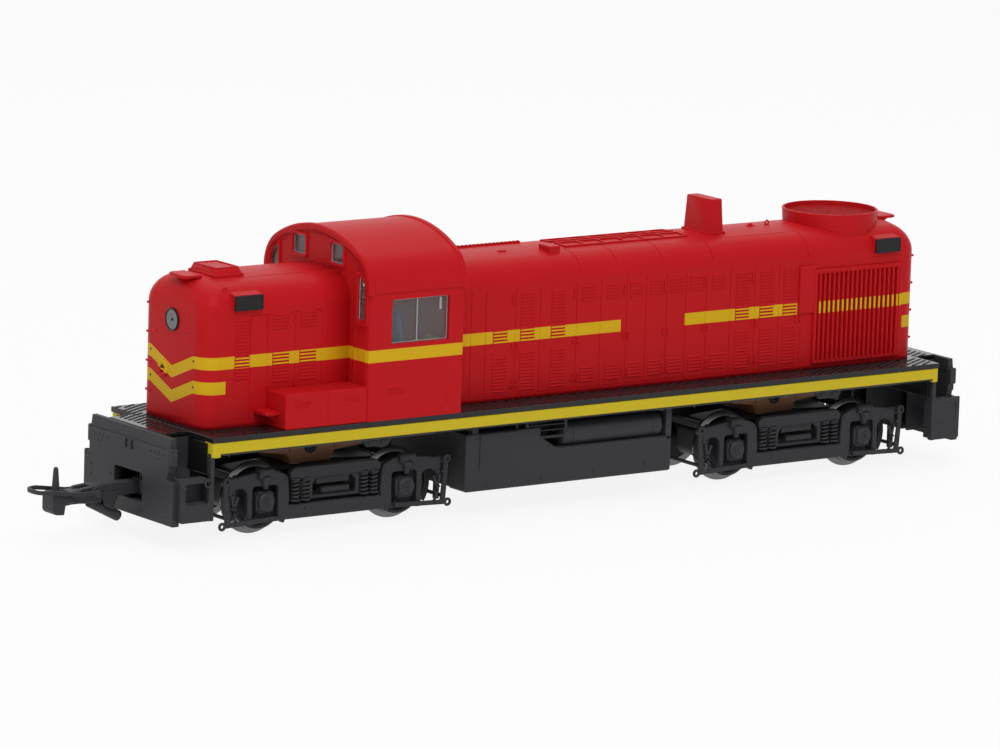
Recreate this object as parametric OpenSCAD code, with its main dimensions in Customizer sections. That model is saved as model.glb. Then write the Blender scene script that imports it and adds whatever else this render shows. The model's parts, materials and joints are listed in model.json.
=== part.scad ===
/* [Underframe] */
// Length of the walkway deck between the two end platforms
deck_l = 166; // [120:1:230]
// Width of the walkway deck over the sills
deck_w = 34; // [32:0.5:44]
// Height of the walkway top above the lowest point of the wheels
deck_z = 20.3; // [19:0.1:26]
// Thickness of the walkway plate
deck_t = 1.4; // [1:0.1:2.5]
// Depth of the coloured side sill below the deck edge
sill_h = 2.0; // [1:0.1:4]
// Thickness of the side sill
sill_t = 1.2; // [0.8:0.1:2]
// How far each end platform reaches beyond the deck
platform_l = 6.6; // [5:0.1:10]
// Width of the end plates and end platforms
pilot_w = 27; // [24:0.5:32]
// Thickness of the end plates
pilot_t = 1.2; // [0.8:0.1:2]
// Clearance of the end plates above the floor
pilot_z = 4.4; // [3:0.1:7]
// Height of the lower steps above the floor
step_z = 5.2; // [4:0.1:6]
// Length of the underfloor tank block
tank_l = 47; // [30:1:60]
// Offset of the tank block's middle along the locomotive
tank_x = -3; // [-6:0.5:6]
// Width of the tank block
tank_w = 30; // [24:0.5:34]
// Clearance of the tank above the floor
tank_z = 4.8; // [3:0.1:9]
// Diameter of the air reservoirs on the tank's sides
tube_d = 4.8; // [3:0.1:5]

/* [Running gear] */
// Distance between the two truck centres
truck_c = 106.4; // [90:0.2:150]
// Distance between the two axles of a truck
wheelbase = 30.4; // [26:0.2:36]
// Diameter of the wheel treads
wheel_d = 11.4; // [10:0.1:12.5]
// Height of the wheel flanges
flange_h = 1.0; // [0.5:0.1:1.3]
// Track gauge
gauge = 16.5; // [14:0.1:18]
// Width of a wheel over tread and flange
wheel_w = 2.8; // [2:0.1:3.2]
// Diameter of the axles
axle_d = 2.0; // [1.5:0.1:3]
// Diameter of the axle ends that run in the journal boxes
journal_d = 1.6; // [1:0.1:1.8]
// Radial running clearance of journals and pivot pins
run = 0.05; // [0.02:0.01:0.08]
// Diameter of the pins the trucks turn on
king_d = 4; // [3:0.1:6]
// Diameter of the upright pins the couplers swing on
draw_d = 2.2; // [1.6:0.1:3]
// Height of the couplers above the lowest point of the wheels
draft_z = 9.2; // [8:0.1:11]
// Length of the coupler's lift loop
loop_l = 14; // [10:0.1:18]

/* [Body] */
// Width of the hoods
hood_w = 21; // [18:0.2:24]
// Height of the hood crowns above the lowest point of the wheels
hood_z = 46.8; // [40:0.2:56]
// Radius of the hood shoulders
hood_r = 5.2; // [3:0.1:7]
// Radius of the hood crown
hood_crown = 34; // [22:1:60]
// Rounding of the hood ends
hood_end_r = 3.4; // [2:0.1:5]
// Wall thickness of the hoods
hood_t = 1.2; // [0.8:0.1:2]
// Distance from the end of each hood to the end of the deck
hood_gap = 1.5; // [0.5:0.1:4]
// Distance from the nose to the cab's front wall
short_l = 31.6; // [24:0.2:40]
// Length of the cab
cab_l = 20.8; // [16:0.2:28]
// Width over the cab's side walls
cab_w = 33.8; // [30:0.2:40]
// Height of the cab roof above the lowest point of the wheels
cab_z = 54; // [50:0.2:64]
// Height of the joint between the cab's side walls and its roof
eave_z = 43.7; // [40:0.1:46]
// Wall thickness of the cab
cab_t = 1.0; // [0.8:0.1:1.6]
// Overhang of the cab roof over the walls
eave = 0.5; // [0.2:0.1:1]
// Length of a side window
win_l = 12.6; // [8:0.2:15]
// Height of a side window
win_h = 8.2; // [5:0.2:9]
// Diameter of the headlight lenses
lamp_d = 4.2; // [2:0.1:6]
// Diameter of the cooling fan's ring
fan_d = 18; // [12:0.2:20]
// Distance of the fan's middle from the long hood's end
fan_back = 13.6; // [10:0.1:20]
// Distance of the exhaust stack's middle from the long hood's end
stack_back = 43.7; // [36:0.1:60]
// Height of the exhaust stack over the hood
stack_h = 6.4; // [2:0.1:9]
// Length of the radiator shutters
shutter_l = 21.2; // [15:0.1:26]
// Height of the radiator shutters
shutter_h = 17.6; // [12:0.1:19]
// Length of the battery boxes ahead of the cab
battery_l = 17.6; // [10:0.1:24]
// Height of the battery boxes over the deck
battery_h = 6.5; // [4:0.1:10]
// Length of the small bracket ahead of each battery box
bracket_l = 2.8; // [1:0.1:4]
// Width of the small bracket ahead of each battery box
bracket_w = 4.3; // [2:0.1:6]

/* [Hidden] */
RED = [0.75, 0.1, 0.12];
BLACK = [0.16, 0.16, 0.17];
YELLOW = [0.8, 0.71, 0.12];
wheel_r = wheel_d / 2;
flange_r = wheel_r + flange_h;
axle_z = flange_r;
back = gauge / 2 - 1.05;
deck_hw = deck_w / 2;
under_z = deck_z - deck_t;
sill_z = deck_z - 1 - sill_h;
end_x = deck_l / 2;
plate_x = end_x + platform_l;
pilot_hw = pilot_w / 2;
nose_x = hood_gap - end_x;
tail_x = end_x - hood_gap;
cab_x1 = nose_x + short_l;
cab_x2 = cab_x1 + cab_l;
cab_hw = cab_w / 2;
hood_hw = hood_w / 2;
truck_x = truck_c / 2;
frame_y = back + wheel_w + 0.6;
frame_t = 1.6;
axle_end = frame_y + 1.2;
pocket_z = draft_z + 3.4;
floor_z = deck_z + 0.8;
win_x = cab_x1 + 4.5 + win_l / 2;
win_z = eave_z - 1.4 - win_h;
king_z = under_z - 4.4;
draw_x = plate_x - pilot_t - 2.2;
loop_x = -plate_x - 8.2;
fan_x = tail_x - fan_back;
stack_x = tail_x - stack_back;
frames_x = cab_x2 + 31.6;
$fa = 6;
$fs = 0.4;

// Half outline of an arched section: crown radius, shoulder radius, straight side
function arc_pts(cy, cz, r, a0, a1, n) =
  [for (i = [0:n]) [cy + r * cos(a0 + (a1 - a0) * i / n), cz + r * sin(a0 + (a1 - a0) * i / n)]];
function shoulder_z(hw, top, big, r) = top - big + sqrt(pow(big - r, 2) - pow(hw - r, 2));
function arch(hw, z0, top, big, r, n = 8) =
  let (cz = shoulder_z(hw, top, big, r), a = atan2(cz - top + big, hw - r))
  concat([[hw, z0]], arc_pts(hw - r, cz, r, 0, a, n),
    [for (i = [1:2 * n - 1]) let (t = a + (180 - 2 * a) * i / (2 * n))
      [big * cos(t), top - big + big * sin(t)]],
    arc_pts(r - hw, cz, r, 180 - a, 180, n), [[-hw, z0]]);

// Turns a section drawn in Y and Z into a solid along X from x0 to x1
module along_x(x0, x1) {
  translate([x0, 0, 0]) rotate([90, 0, 90]) linear_extrude(x1 - x0) children();
}
module both_sides() {
  children();
  mirror([0, 1, 0]) children();
}
// Turns an outline drawn in X and Z into a solid between two distances from the middle
module side_plate(y0, y1) {
  translate([0, y1, 0]) rotate([90, 0, 0]) linear_extrude(y1 - y0) children();
}
module block(x0, x1, y0, y1, z0, z1) {
  translate([x0, y0, z0]) cube([x1 - x0, y1 - y0, z1 - z0]);
}

module walkway_deck() {
  color(BLACK) {
    block(-end_x, end_x, -deck_hw, deck_hw, under_z, deck_z);
    both_sides() block(-end_x, end_x, deck_hw - sill_t, deck_hw, sill_z, under_z);
  }
}

module centre_frame() {
  color(BLACK) {
    difference() {
      union() {
        block(-plate_x + pilot_t + 1, plate_x - pilot_t - 1, -5, 5, under_z - 1.2, under_z);
        for (s = [-1, 1]) translate([s * truck_x, 0, king_z]) cylinder(d = king_d, h = under_z - king_z);
        for (s = [-1, 1]) block(s * draw_x - 2.2, s * draw_x + 2.2, -3.4, 3.4, pocket_z, under_z - 1.2);
        translate([-draw_x, 0, draft_z - 1.8]) cylinder(d = draw_d, h = pocket_z - draft_z + 1.8);
      }
      translate([draw_x, 0, pocket_z - 0.6]) cylinder(d = draw_d, h = 4.1);
    }
  }
}

// Stepped outline of an end plate: a recess at draft height and a lower half that stands further out
module pilot_outline() {
  polygon([[0, deck_z - 0.2], [pilot_t, deck_z - 0.2], [pilot_t, deck_z - 2.1],
    [pilot_t + 0.3, deck_z - 2.5], [pilot_t + 0.3, deck_z - 4.9], [pilot_t - 0.2, deck_z - 5.4],
    [pilot_t - 0.2, draft_z + 4], [pilot_t + 0.9, draft_z + 3], [pilot_t + 0.9, pilot_z], [0, pilot_z]]);
}
module end_plate() {
  color(BLACK) difference() {
    union() {
      side_plate(-pilot_hw, pilot_hw) translate([plate_x - pilot_t, 0]) pilot_outline();
      both_sides() block(end_x, plate_x - pilot_t + 0.2, pilot_hw - 1, pilot_hw, pilot_z + 1.4, under_z);
      block(end_x, plate_x - pilot_t + 0.2, -pilot_hw, pilot_hw, under_z, deck_z - 0.2);
    }
    block(plate_x - 3, plate_x + 3, -4.6, 4.6, draft_z - 3, draft_z + 3.2);
  }
}
module end_plate_front() {
  rotate([0, 0, 180]) end_plate();
}
module end_plate_rear() {
  end_plate();
}

// Step treads between the end plate and a post under the end of the sill
module steps() {
  color(BLACK) both_sides() {
    block(end_x - 0.4, plate_x + 0.2, pilot_hw, deck_hw - 0.2, step_z, step_z + 0.8);
    block(end_x - 0.4, plate_x - 0.6, pilot_hw, deck_hw - 0.8, step_z + 6.4, step_z + 7.2);
    block(end_x - 0.9, end_x, deck_hw - 1.9, deck_hw - 0.2, step_z, sill_z);
  }
}
module steps_front() {
  rotate([0, 0, 180]) steps();
}
module steps_rear() {
  steps();
}

module fuel_tank() {
  x0 = tank_x - tank_l / 2;
  x1 = tank_x + tank_l / 2;
  color(BLACK) difference() {
    block(x0, x1, -tank_w / 2, tank_w / 2, tank_z, under_z - 1.2);
    both_sides() block(x0 + 14, x1 + 1, tank_w / 2 - 5, tank_w / 2 + 1, tank_z + 6.4, under_z);
  }
}
module air_reservoirs() {
  color(BLACK) both_sides()
    translate([tank_x - tank_l / 2 + 22, tank_w / 2 - 2.4, tank_z + 6.4 + tube_d / 2])
      rotate([0, 90, 0]) cylinder(d = tube_d, h = tank_l - 24);
}

// A hood: rings of one arched section, drawn in towards the far end so that its edges are rounded
module hood_body(x0, x1, d) {
  r = hood_end_r - d;
  ring = concat([[x0, 0]], [for (i = [0:5]) [x1 - d - r + r * sin(i * 17), r * (1 - cos(i * 17))]]);
  pts = [for (k = ring) for (p = arch(hood_hw - d - k[1], deck_z, hood_z - d - k[1],
    hood_crown - d - k[1], hood_r - d - 0.6 * k[1], 6)) [k[0], p[0], p[1]]];
  n = len(pts) / len(ring);
  polyhedron(pts, concat([[for (i = [0:n - 1]) i]],
    [[for (i = [1:n]) len(pts) - i]],
    [for (k = [0:len(ring) - 2]) for (i = [0:n - 1]) let (j = (i + 1) % n)
      [k * n + i, k * n + n + i, k * n + n + j]],
    [for (k = [0:len(ring) - 2]) for (i = [0:n - 1]) let (j = (i + 1) % n)
      [k * n + i, k * n + n + j, k * n + j]]));
}
module hood(x0, x1) {
  color(RED) difference() {
    hood_body(x0, x1, 0);
    translate([-0.1, 0, -0.1]) hood_body(x0, x1 + 0.1, hood_t);
  }
}
module short_hood() {
  rotate([0, 0, 180]) hood(-cab_x1, -nose_x);
}
module long_hood() {
  hood(cab_x2, tail_x);
}
module motor_block() {
  color([0.55, 0.56, 0.58]) block(-16, 16, -7, 7, deck_z, deck_z + 15);
}

module cab_outline(d) {
  polygon(arch(cab_hw + eave - d, deck_z, cab_z - d, 28 - d, 7 - d, 10));
}
// Openings in an end wall: two over the hood, a narrow one in the door, a wide one across from it
module pane_holes(s) {
  for (t = [-1, 1]) translate([t * 6.1 - 2.1, hood_z + 1]) square([4.2, 3.5]);
  y = cab_hw - 2.5;
  translate([s * y - 1.1, eave_z - 5.2]) square([2.2, 7]);
  polygon([[-s * (y - 1.5), eave_z - 5.2], [-s * (y - 1.5), eave_z + 4.7], [-s * (y - 0.5), eave_z + 4.2],
    [-s * (y + 1.1), eave_z + 2.3], [-s * (y + 1.1), eave_z - 5.2]]);
}
module cab_end_wall(x, s) {
  color(RED) along_x(x, x + cab_t) difference() {
    intersection() {
      cab_outline(cab_t + 0.05);
      translate([-cab_hw, 0]) square([cab_w, 100]);
    }
    pane_holes(s);
  }
}
module cab_front_wall() {
  cab_end_wall(cab_x1, -1);
}
module cab_rear_wall() {
  cab_end_wall(cab_x2 - cab_t, 1);
}
module cab_side(s) {
  color(RED) scale([1, s, 1]) side_plate(cab_hw - cab_t, cab_hw) difference() {
    translate([cab_x1 + cab_t, deck_z]) square([cab_l - 2 * cab_t, eave_z - deck_z]);
    translate([win_x - win_l / 2, win_z]) square([win_l, win_h]);
  }
}
module cab_side_left() {
  cab_side(-1);
}
module cab_side_right() {
  cab_side(1);
}
module cab_roof() {
  color(RED) difference() {
    along_x(cab_x1 - eave, cab_x2 + eave) intersection() {
      cab_outline(0);
      translate([-50, eave_z]) square([100, 50]);
    }
    along_x(cab_x1 - 5, cab_x2 + 5) cab_outline(cab_t);
  }
}
module cab_glazing() {
  color([0.6, 0.65, 0.68, 0.4]) {
    both_sides() block(win_x - win_l / 2, win_x + win_l / 2, cab_hw - cab_t + 0.2, cab_hw - 0.4,
      win_z, win_z + win_h);
    along_x(cab_x1 + 0.3, cab_x1 + 0.7) pane_holes(-1);
    along_x(cab_x2 - 0.7, cab_x2 - 0.3) pane_holes(1);
  }
}
module cab_floor() {
  color(BLACK) block(cab_x1 + cab_t, cab_x2 - cab_t, -cab_hw + cab_t, cab_hw - cab_t, deck_z, floor_z);
}
module cab_seats() {
  color([0.2, 0.3, 0.45]) both_sides() {
    block(win_x - 2.6, win_x + 2.2, 9.4, 13.8, floor_z + 5, floor_z + 6.4);
    block(win_x - 3.6, win_x - 2.6, 9.6, 13.6, floor_z + 5, floor_z + 16);
    translate([win_x, 11.6, floor_z]) cylinder(d = 1.6, h = 5);
  }
}
module control_stand() {
  color([0.3, 0.32, 0.33]) {
    block(cab_x1 + cab_t + 1.6, cab_x1 + cab_t + 4, -9, -3.4, floor_z, floor_z + 13);
  }
}

module battery_box(s) {
  x0 = cab_x1 - battery_l;
  color(RED) scale([1, s, 1]) {
    block(x0, cab_x1, hood_hw, cab_hw - 0.1, deck_z, deck_z + battery_h);
    block(x0 - bracket_l, x0, hood_hw, hood_hw + bracket_w, deck_z + 2.2, deck_z + 3.2);
  }
}
module battery_box_left() {
  battery_box(-1);
}
module battery_box_right() {
  battery_box(1);
}
// Space inside the straight part of a hood's outer surface
module hood_cut(x0, x1) {
  along_x(x0, x1) polygon(arch(hood_hw, deck_z, hood_z, hood_crown, hood_r, 6));
}
module hood_hatch() {
  x0 = nose_x + 6.2;
  color(RED) difference() {
    union() {
      block(x0, x0 + 6.4, -4.4, 4.4, hood_z - 1, hood_z + 0.5);
      hull() {
        block(x0, x0 + 6.4, -4.4, 4.4, hood_z + 0.5, hood_z + 0.6);
        block(x0 + 0.6, x0 + 5.8, -3.8, 3.8, hood_z + 0.6, hood_z + 1.5);
      }
    }
    hood_cut(x0 - 1, x0 + 8);
  }
}
// Flat peaks over the lamps at both ends of the body
module lamp_visors() {
  color(RED) difference() {
    union() {
      block(nose_x + 0.4, nose_x + 4.2, -3, 3, hood_z - 1.4, hood_z + 0.3);
      block(tail_x - 3.6, tail_x + 0.3, -3, 3, hood_z - 1.4, hood_z + 0.3);
    }
    rotate([0, 0, 180]) hood_body(40, -nose_x, 0);
    hood_body(40, tail_x, 0);
  }
}
module headlights() {
  color([0.6, 0.6, 0.6]) for (s = [-1, 1])
    translate([s * tail_x + (s < 0 ? -0.5 : 0), 0, hood_z - 7.9]) rotate([0, 90, 0])
      cylinder(d = lamp_d, h = 0.5);
}
// A plate that stands off the hood's shoulder on a wedge bracket
module number_board(x) {
  block(x - 3, x + 3, hood_hw + 0.3, hood_hw + 0.9, hood_z - 5.2, hood_z - 2.5);
  difference() {
    block(x - 2.6, x + 2.6, hood_hw - 3, hood_hw + 0.3, hood_z - 4.6, hood_z - 2.7);
    hood_cut(x - 4, x + 4);
  }
}
module number_boards() {
  color(BLACK) both_sides() {
    number_board(nose_x + 9.3);
    number_board(tail_x - 7.7);
  }
}
module roof_hatch_frames() {
  color(RED) both_sides() difference() {
    block(frames_x, frames_x + 28.6, 0.6, 4, hood_z - 0.6, hood_z + 0.3);
    for (i = [0:5]) block(frames_x + 0.4 + 4.7 * i, frames_x + 4.6 + 4.7 * i, 1, 3.6, hood_z - 1, hood_z + 1);
    hood_cut(frames_x - 1, frames_x + 30);
  }
}
module exhaust_stack() {
  color(RED) difference() {
    union() {
      block(stack_x - 1.9, stack_x + 1.9, -3.8, 3.8, hood_z - 0.5, hood_z + 0.2);
      hull() {
        block(stack_x - 1.9, stack_x + 1.9, -3.8, 3.8, hood_z + 0.2, hood_z + 0.3);
        block(stack_x - 1.3, stack_x + 1.3, -3.8, 3.8, hood_z + stack_h - 0.2, hood_z + stack_h);
      }
    }
    hood_cut(stack_x - 5, stack_x + 5);
    block(stack_x - 0.9, stack_x + 0.9, -3.2, 3.2, hood_z + stack_h - 2, hood_z + stack_h + 2);
  }
}
module fan_ring() {
  color(RED) translate([fan_x, 0, 0]) difference() {
    translate([0, 0, hood_z - 3]) cylinder(d = fan_d, h = 5.2);
    translate([0, 0, hood_z + 0.3]) cylinder(d = fan_d - 1.6, h = 5);
    translate([-fan_x, 0, 0]) hood_cut(fan_x - 20, fan_x + 20);
  }
}
module fan_grille() {
  color(RED) translate([fan_x, 0, hood_z + 1.2]) cylinder(d = fan_d - 1.6, h = 0.4);
}
module radiator_shutters() {
  x0 = tail_x - 3.8 - shutter_l;
  pitch = (shutter_l - 0.1) / 19;
  color(RED) both_sides() {
    block(x0, x0 + shutter_l, hood_hw, hood_hw + 0.3, deck_z + 1, deck_z + 1 + shutter_h);
    for (i = [0:18]) block(x0 + 0.3 + i * pitch, x0 + 0.9 + i * pitch, hood_hw + 0.3, hood_hw + 0.9,
      deck_z + 1.2, deck_z + 0.8 + shutter_h);
  }
}
// Rungs on one corner of each end, diagonally across from each other
module end_rungs() {
  color(RED) for (t = [0, 180]) rotate([0, 0, t]) for (i = [0:3]) difference() {
    translate([0, 0, deck_z + 4.3 + i * 5.3]) difference() {
      block(tail_x - 2, tail_x + 0.6, -9, -6, 0, 0.4);
      block(tail_x - 3, tail_x + 0.2, -8.6, -6.4, -1, 1);
    }
    hood_body(40, tail_x, 0);
  }
}

// Side frame of a truck about its own centre, drawn in X and Z
module side_outline() {
  h = wheelbase / 2;
  difference() {
    union() {
      translate([-h - 4.4, axle_z + 3.5]) square([2 * h + 8.8, 1.8]);
      translate([3 - h, axle_z - 3.8]) square([2 * h - 6, 9]);
      for (s = [-1, 1]) {
        translate([s * h - 4.4, axle_z - 2.5]) square([8.8, 7]);
        translate([s * (h + 5.4) - 1.6, axle_z + 0.9]) square([3.2, 3.6]);
      }
    }
    translate([2.4 - h / 2, axle_z - 0.5]) square([h - 4.8, 3.8]);
    for (s = [-1, 1]) translate([s * h / 2 - 2.1, axle_z - 1.3]) square([4.2, 4.8]);
    for (s = [-1, 1]) translate([s * h - 2.5, axle_z - 3.7]) square([5, 6.9]);
  }
}
module truck_frame() {
  h = wheelbase / 2;
  color(BLACK) {
    difference() {
      union() {
        both_sides() side_plate(frame_y, frame_y + frame_t) side_outline();
        block(-3.6, 3.6, -frame_y - 0.1, frame_y + 0.1, axle_z + 1.9, axle_z + 3.5);
        both_sides() for (s = [-1, 1]) {
          block(s * h - 2.5, s * h + 2.5, frame_y, frame_y + frame_t + 0.5, axle_z - 2.4, axle_z + 3.4);
          translate([s * h, frame_y + frame_t + 0.9, axle_z]) rotate([90, 0, 0]) cylinder(r = 1.5, h = 1);
          for (dx = [-1, 1]) translate([s * h / 2 + dx * 1.05, frame_y + frame_t / 2, axle_z - 1.4])
            cylinder(r = 0.8, h = 5);
        }
      }
      for (s = [-1, 1]) translate([s * h, axle_end + 0.1, axle_z]) rotate([90, 0, 0])
        cylinder(r = journal_d / 2 + run, h = 2 * axle_end + 0.2);
      block(-6, 6, -5.6, 5.6, axle_z + 1.3, axle_z + 4.3);
    }
  }
}
module gear_tower() {
  h = wheelbase / 2;
  color([0.43, 0.29, 0.21]) difference() {
    union() {
      block(-12.5, 8.6, -5.5, 5.5, axle_z + 4.7, under_z - 1.6);
      block(-h - 2.4, h + 2.4, -3.4, 3.4, axle_z - 3.3, axle_z + 4.7);
      block(-3.4, 3.4, -5.6, 5.6, axle_z + 1.5, axle_z + 4.7);
    }
    translate([0, 0, king_z - 0.4]) cylinder(d = king_d + 2 * run, h = 10);
    for (s = [-1, 1]) translate([s * h, 10, axle_z]) rotate([90, 0, 0]) cylinder(r = axle_d / 2 + 0.3, h = 20);
  }
}
module truck_frame_front() {
  translate([-truck_x, 0, 0]) truck_frame();
}
module truck_frame_rear() {
  translate([truck_x, 0, 0]) truck_frame();
}
module gear_tower_front() {
  translate([-truck_x, 0, 0]) gear_tower();
}
module gear_tower_rear() {
  translate([truck_x, 0, 0]) gear_tower();
}

// Axle with two flanged wheels, about the axle's own middle
module wheelset(x) {
  color([0.6, 0.6, 0.6]) translate([x, 0, axle_z]) rotate([90, 0, 0]) rotate_extrude() polygon([
    [0, -axle_end], [journal_d / 2, -axle_end], [journal_d / 2, -back - wheel_w - 0.2],
    [1.9, -back - wheel_w - 0.2], [1.9, -back - wheel_w + 0.3], [wheel_r - 1.1, -back - wheel_w + 0.4],
    [wheel_r - 0.9, -back - wheel_w], [wheel_r - 0.1, -back - wheel_w], [wheel_r, -back - 0.9],
    [flange_r - 0.1, -back - 0.5], [flange_r, -back - 0.25], [flange_r - 0.2, -back], [axle_d / 2, -back],
    [axle_d / 2, back], [flange_r - 0.2, back], [flange_r, back + 0.25], [flange_r - 0.1, back + 0.5],
    [wheel_r, back + 0.9], [wheel_r - 0.1, back + wheel_w], [wheel_r - 0.9, back + wheel_w],
    [wheel_r - 1.1, back + wheel_w - 0.4], [1.9, back + wheel_w - 0.3], [1.9, back + wheel_w + 0.2],
    [journal_d / 2, back + wheel_w + 0.2], [journal_d / 2, axle_end], [0, axle_end]]);
}
module wheelset_1() {
  wheelset(-truck_x - wheelbase / 2);
}
module wheelset_2() {
  wheelset(-truck_x + wheelbase / 2);
}
module wheelset_3() {
  wheelset(truck_x - wheelbase / 2);
}
module wheelset_4() {
  wheelset(truck_x + wheelbase / 2);
}

module coupler_head() {
  color(BLACK) difference() {
    union() {
      translate([-draw_x, 0, draft_z - 1.4]) cylinder(d = draw_d + 2.4, h = 2.8);
      block(loop_x - 1.2, -draw_x, -1.3, 1.3, draft_z - 1.2, draft_z + 1.2);
      block(loop_x - 1.3, loop_x + 2.2, -1.9, 1.9, draft_z - 1.3, draft_z + 1.3);
      block(loop_x - 9.4, loop_x - 1.2, -1.9, 1.9, draft_z - 2, draft_z + 0.5);
      block(loop_x - 9.4, loop_x - 6.6, -1.9, 1.9, draft_z - 3.6, draft_z);
      translate([loop_x - 5.9, 0, draft_z]) cylinder(r = 0.7, h = 5);
    }
    translate([-draw_x, 0, 0]) cylinder(d = draw_d + 2 * run, h = 30);
    translate([loop_x, 5, draft_z]) rotate([90, 0, 0]) cylinder(r = 0.4 + run, h = 10);
  }
}
module coupler_loop() {
  color(BLACK) {
    difference() {
      block(loop_x - loop_l, loop_x + 0.8, -3.1, 3.1, draft_z - 0.3, draft_z + 0.5);
      block(loop_x - loop_l + 0.8, loop_x + 2, -2.3, 2.3, draft_z - 2, draft_z + 2);
    }
    translate([loop_x, 2.5, draft_z]) rotate([90, 0, 0]) cylinder(r = 0.4, h = 5);
  }
}

walkway_deck();
centre_frame();
end_plate_front();
end_plate_rear();
steps_front();
steps_rear();
fuel_tank();
air_reservoirs();
short_hood();
long_hood();
motor_block();
cab_front_wall();
cab_rear_wall();
cab_side_left();
cab_side_right();
cab_roof();
cab_glazing();
cab_floor();
cab_seats();
control_stand();
battery_box_left();
battery_box_right();
hood_hatch();
lamp_visors();
headlights();
number_boards();
roof_hatch_frames();
exhaust_stack();
fan_ring();
fan_grille();
radiator_shutters();
end_rungs();
truck_frame_front();
truck_frame_rear();
gear_tower_front();
gear_tower_rear();
wheelset_1();
wheelset_2();
wheelset_3();
wheelset_4();
coupler_head();
coupler_loop();
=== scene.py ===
"""Looks of a small model diesel locomotive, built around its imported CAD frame."""

import json
import math

import bmesh
import bpy
import numpy as np
from bpy.props import FloatProperty, FloatVectorProperty, PointerProperty
from mathutils import Matrix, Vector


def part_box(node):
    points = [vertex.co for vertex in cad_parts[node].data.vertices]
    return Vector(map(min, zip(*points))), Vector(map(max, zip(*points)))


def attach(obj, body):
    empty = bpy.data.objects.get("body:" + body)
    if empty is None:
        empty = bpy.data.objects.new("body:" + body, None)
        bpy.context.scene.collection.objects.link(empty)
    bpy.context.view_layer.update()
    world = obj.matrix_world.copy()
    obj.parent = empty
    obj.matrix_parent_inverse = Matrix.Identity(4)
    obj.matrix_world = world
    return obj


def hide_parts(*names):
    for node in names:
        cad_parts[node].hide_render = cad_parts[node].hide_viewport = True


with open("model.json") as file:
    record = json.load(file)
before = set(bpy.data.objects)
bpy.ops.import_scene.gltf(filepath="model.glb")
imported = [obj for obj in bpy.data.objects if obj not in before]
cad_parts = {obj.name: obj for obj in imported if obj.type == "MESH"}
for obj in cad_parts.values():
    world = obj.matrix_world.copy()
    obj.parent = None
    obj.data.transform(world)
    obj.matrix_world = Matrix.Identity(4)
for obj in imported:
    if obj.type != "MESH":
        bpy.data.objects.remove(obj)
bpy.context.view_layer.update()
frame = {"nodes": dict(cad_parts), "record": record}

bl_info = {
    "name": "Model Road Switcher",
    "version": (1, 0, 0),
    "blender": (4, 5, 0),
    "location": "View3D > Sidebar > Locomotive",
    "description": "Builds the visible pieces of a model road switcher around its CAD frame",
    "category": "Add Mesh",
}

MM = 0.001
DOUBLE = 0.002 * MM  # points nearer than this are one


def box_mm(node):
    """Lowest and highest corner of a CAD node, in millimetres."""
    low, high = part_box(node)
    return np.array(low) / MM, np.array(high) / MM


# ---------------------------------------------------------------- sizes


HOOD_LOW, HOOD_HIGH = box_mm("long_hood")
NOSE_LOW, NOSE_HIGH = box_mm("short_hood")
DECK_LOW, DECK_HIGH = box_mm("walkway_deck")
CAB_LOW, CAB_HIGH = box_mm("cab_roof")
HOOD_HALF, HOOD_TOP, DECK_TOP = HOOD_HIGH[1], HOOD_HIGH[2], DECK_HIGH[2]
NOSE_X, TAIL_X = NOSE_LOW[0] + 0.4, HOOD_HIGH[0] + 0.55  # the flat faces of the two hood ends
CAB_X1, CAB_X2 = NOSE_HIGH[0], HOOD_LOW[0]
CAB_MID = (CAB_X1 + CAB_X2) / 2


class LocoPaint(bpy.types.PropertyGroup):
    """Colours of the locomotive's paints and plastics."""

    body: FloatVectorProperty(
        name="Body", description="Body shell colour", subtype="COLOR",
        size=3, min=0, max=1, default=(0.55, 0.010, 0.014))
    stripe: FloatVectorProperty(
        name="Stripe", description="Colour of the stripes on the body", subtype="COLOR",
        size=3, min=0, max=1, default=(0.72, 0.44, 0.012))
    sill: FloatVectorProperty(
        name="Sill", description="Colour of the side sills", subtype="COLOR",
        size=3, min=0, max=1, default=(0.64, 0.50, 0.012))
    frame: FloatVectorProperty(
        name="Frame", description="Colour of the underframe and trucks", subtype="COLOR",
        size=3, min=0, max=1, default=(0.036, 0.036, 0.041))
    # the gear housings' brown is lifted well above their own colour: painted light, making up for the shade
    # under the body where they sit
    gears: FloatVectorProperty(
        name="Gear housing", description="Colour of the gear housings", subtype="COLOR",
        size=3, min=0, max=1, default=(0.42, 0.20, 0.11))


class LocoStripe(bpy.types.PropertyGroup):
    """Places of the painted stripes."""

    low: FloatProperty(
        name="Stripe bottom", description="Lower edge of the main stripe",
        default=31.1 * MM, unit="LENGTH")
    high: FloatProperty(
        name="Stripe top", description="Upper edge of the main stripe",
        default=33.35 * MM, unit="LENGTH")
    drop: FloatProperty(
        name="Chevron slope", description="Fall of the nose chevrons per unit of width",
        default=0.4, min=0, max=1)


# ---------------------------------------------------------------- meshes


def unit(vectors):
    """Vectors divided by their lengths."""
    vectors = np.asarray(vectors, float)
    return vectors / np.linalg.norm(vectors, axis=-1, keepdims=True)


def joined(*parts):
    """One pair of points and faces from several."""
    verts, faces, start = [], [], 0
    for points, polygons in parts:
        verts.append(points)
        faces += [polygon + start for polygon in polygons]
        start += len(points)
    return np.concatenate(verts), faces


def moved(part, change):
    """A part whose points have gone through a function of the whole point array."""
    return change(part[0]), part[1]


def shifted(part, x=0.0, y=0.0, z=0.0):
    """A part moved by x, y and z."""
    return part[0] + np.array([x, y, z]), part[1]


def mirrored(part, axis=1):
    """A part and its mirror image across the middle plane of one axis."""
    sign = np.ones(3)
    sign[axis] = -1
    return joined(part, (part[0] * sign, part[1]))


def turned_round(part):
    """A part turned half a turn about the upright axis: x and y change sign."""
    return part[0] * np.array([-1, -1, 1]), part[1]


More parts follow.
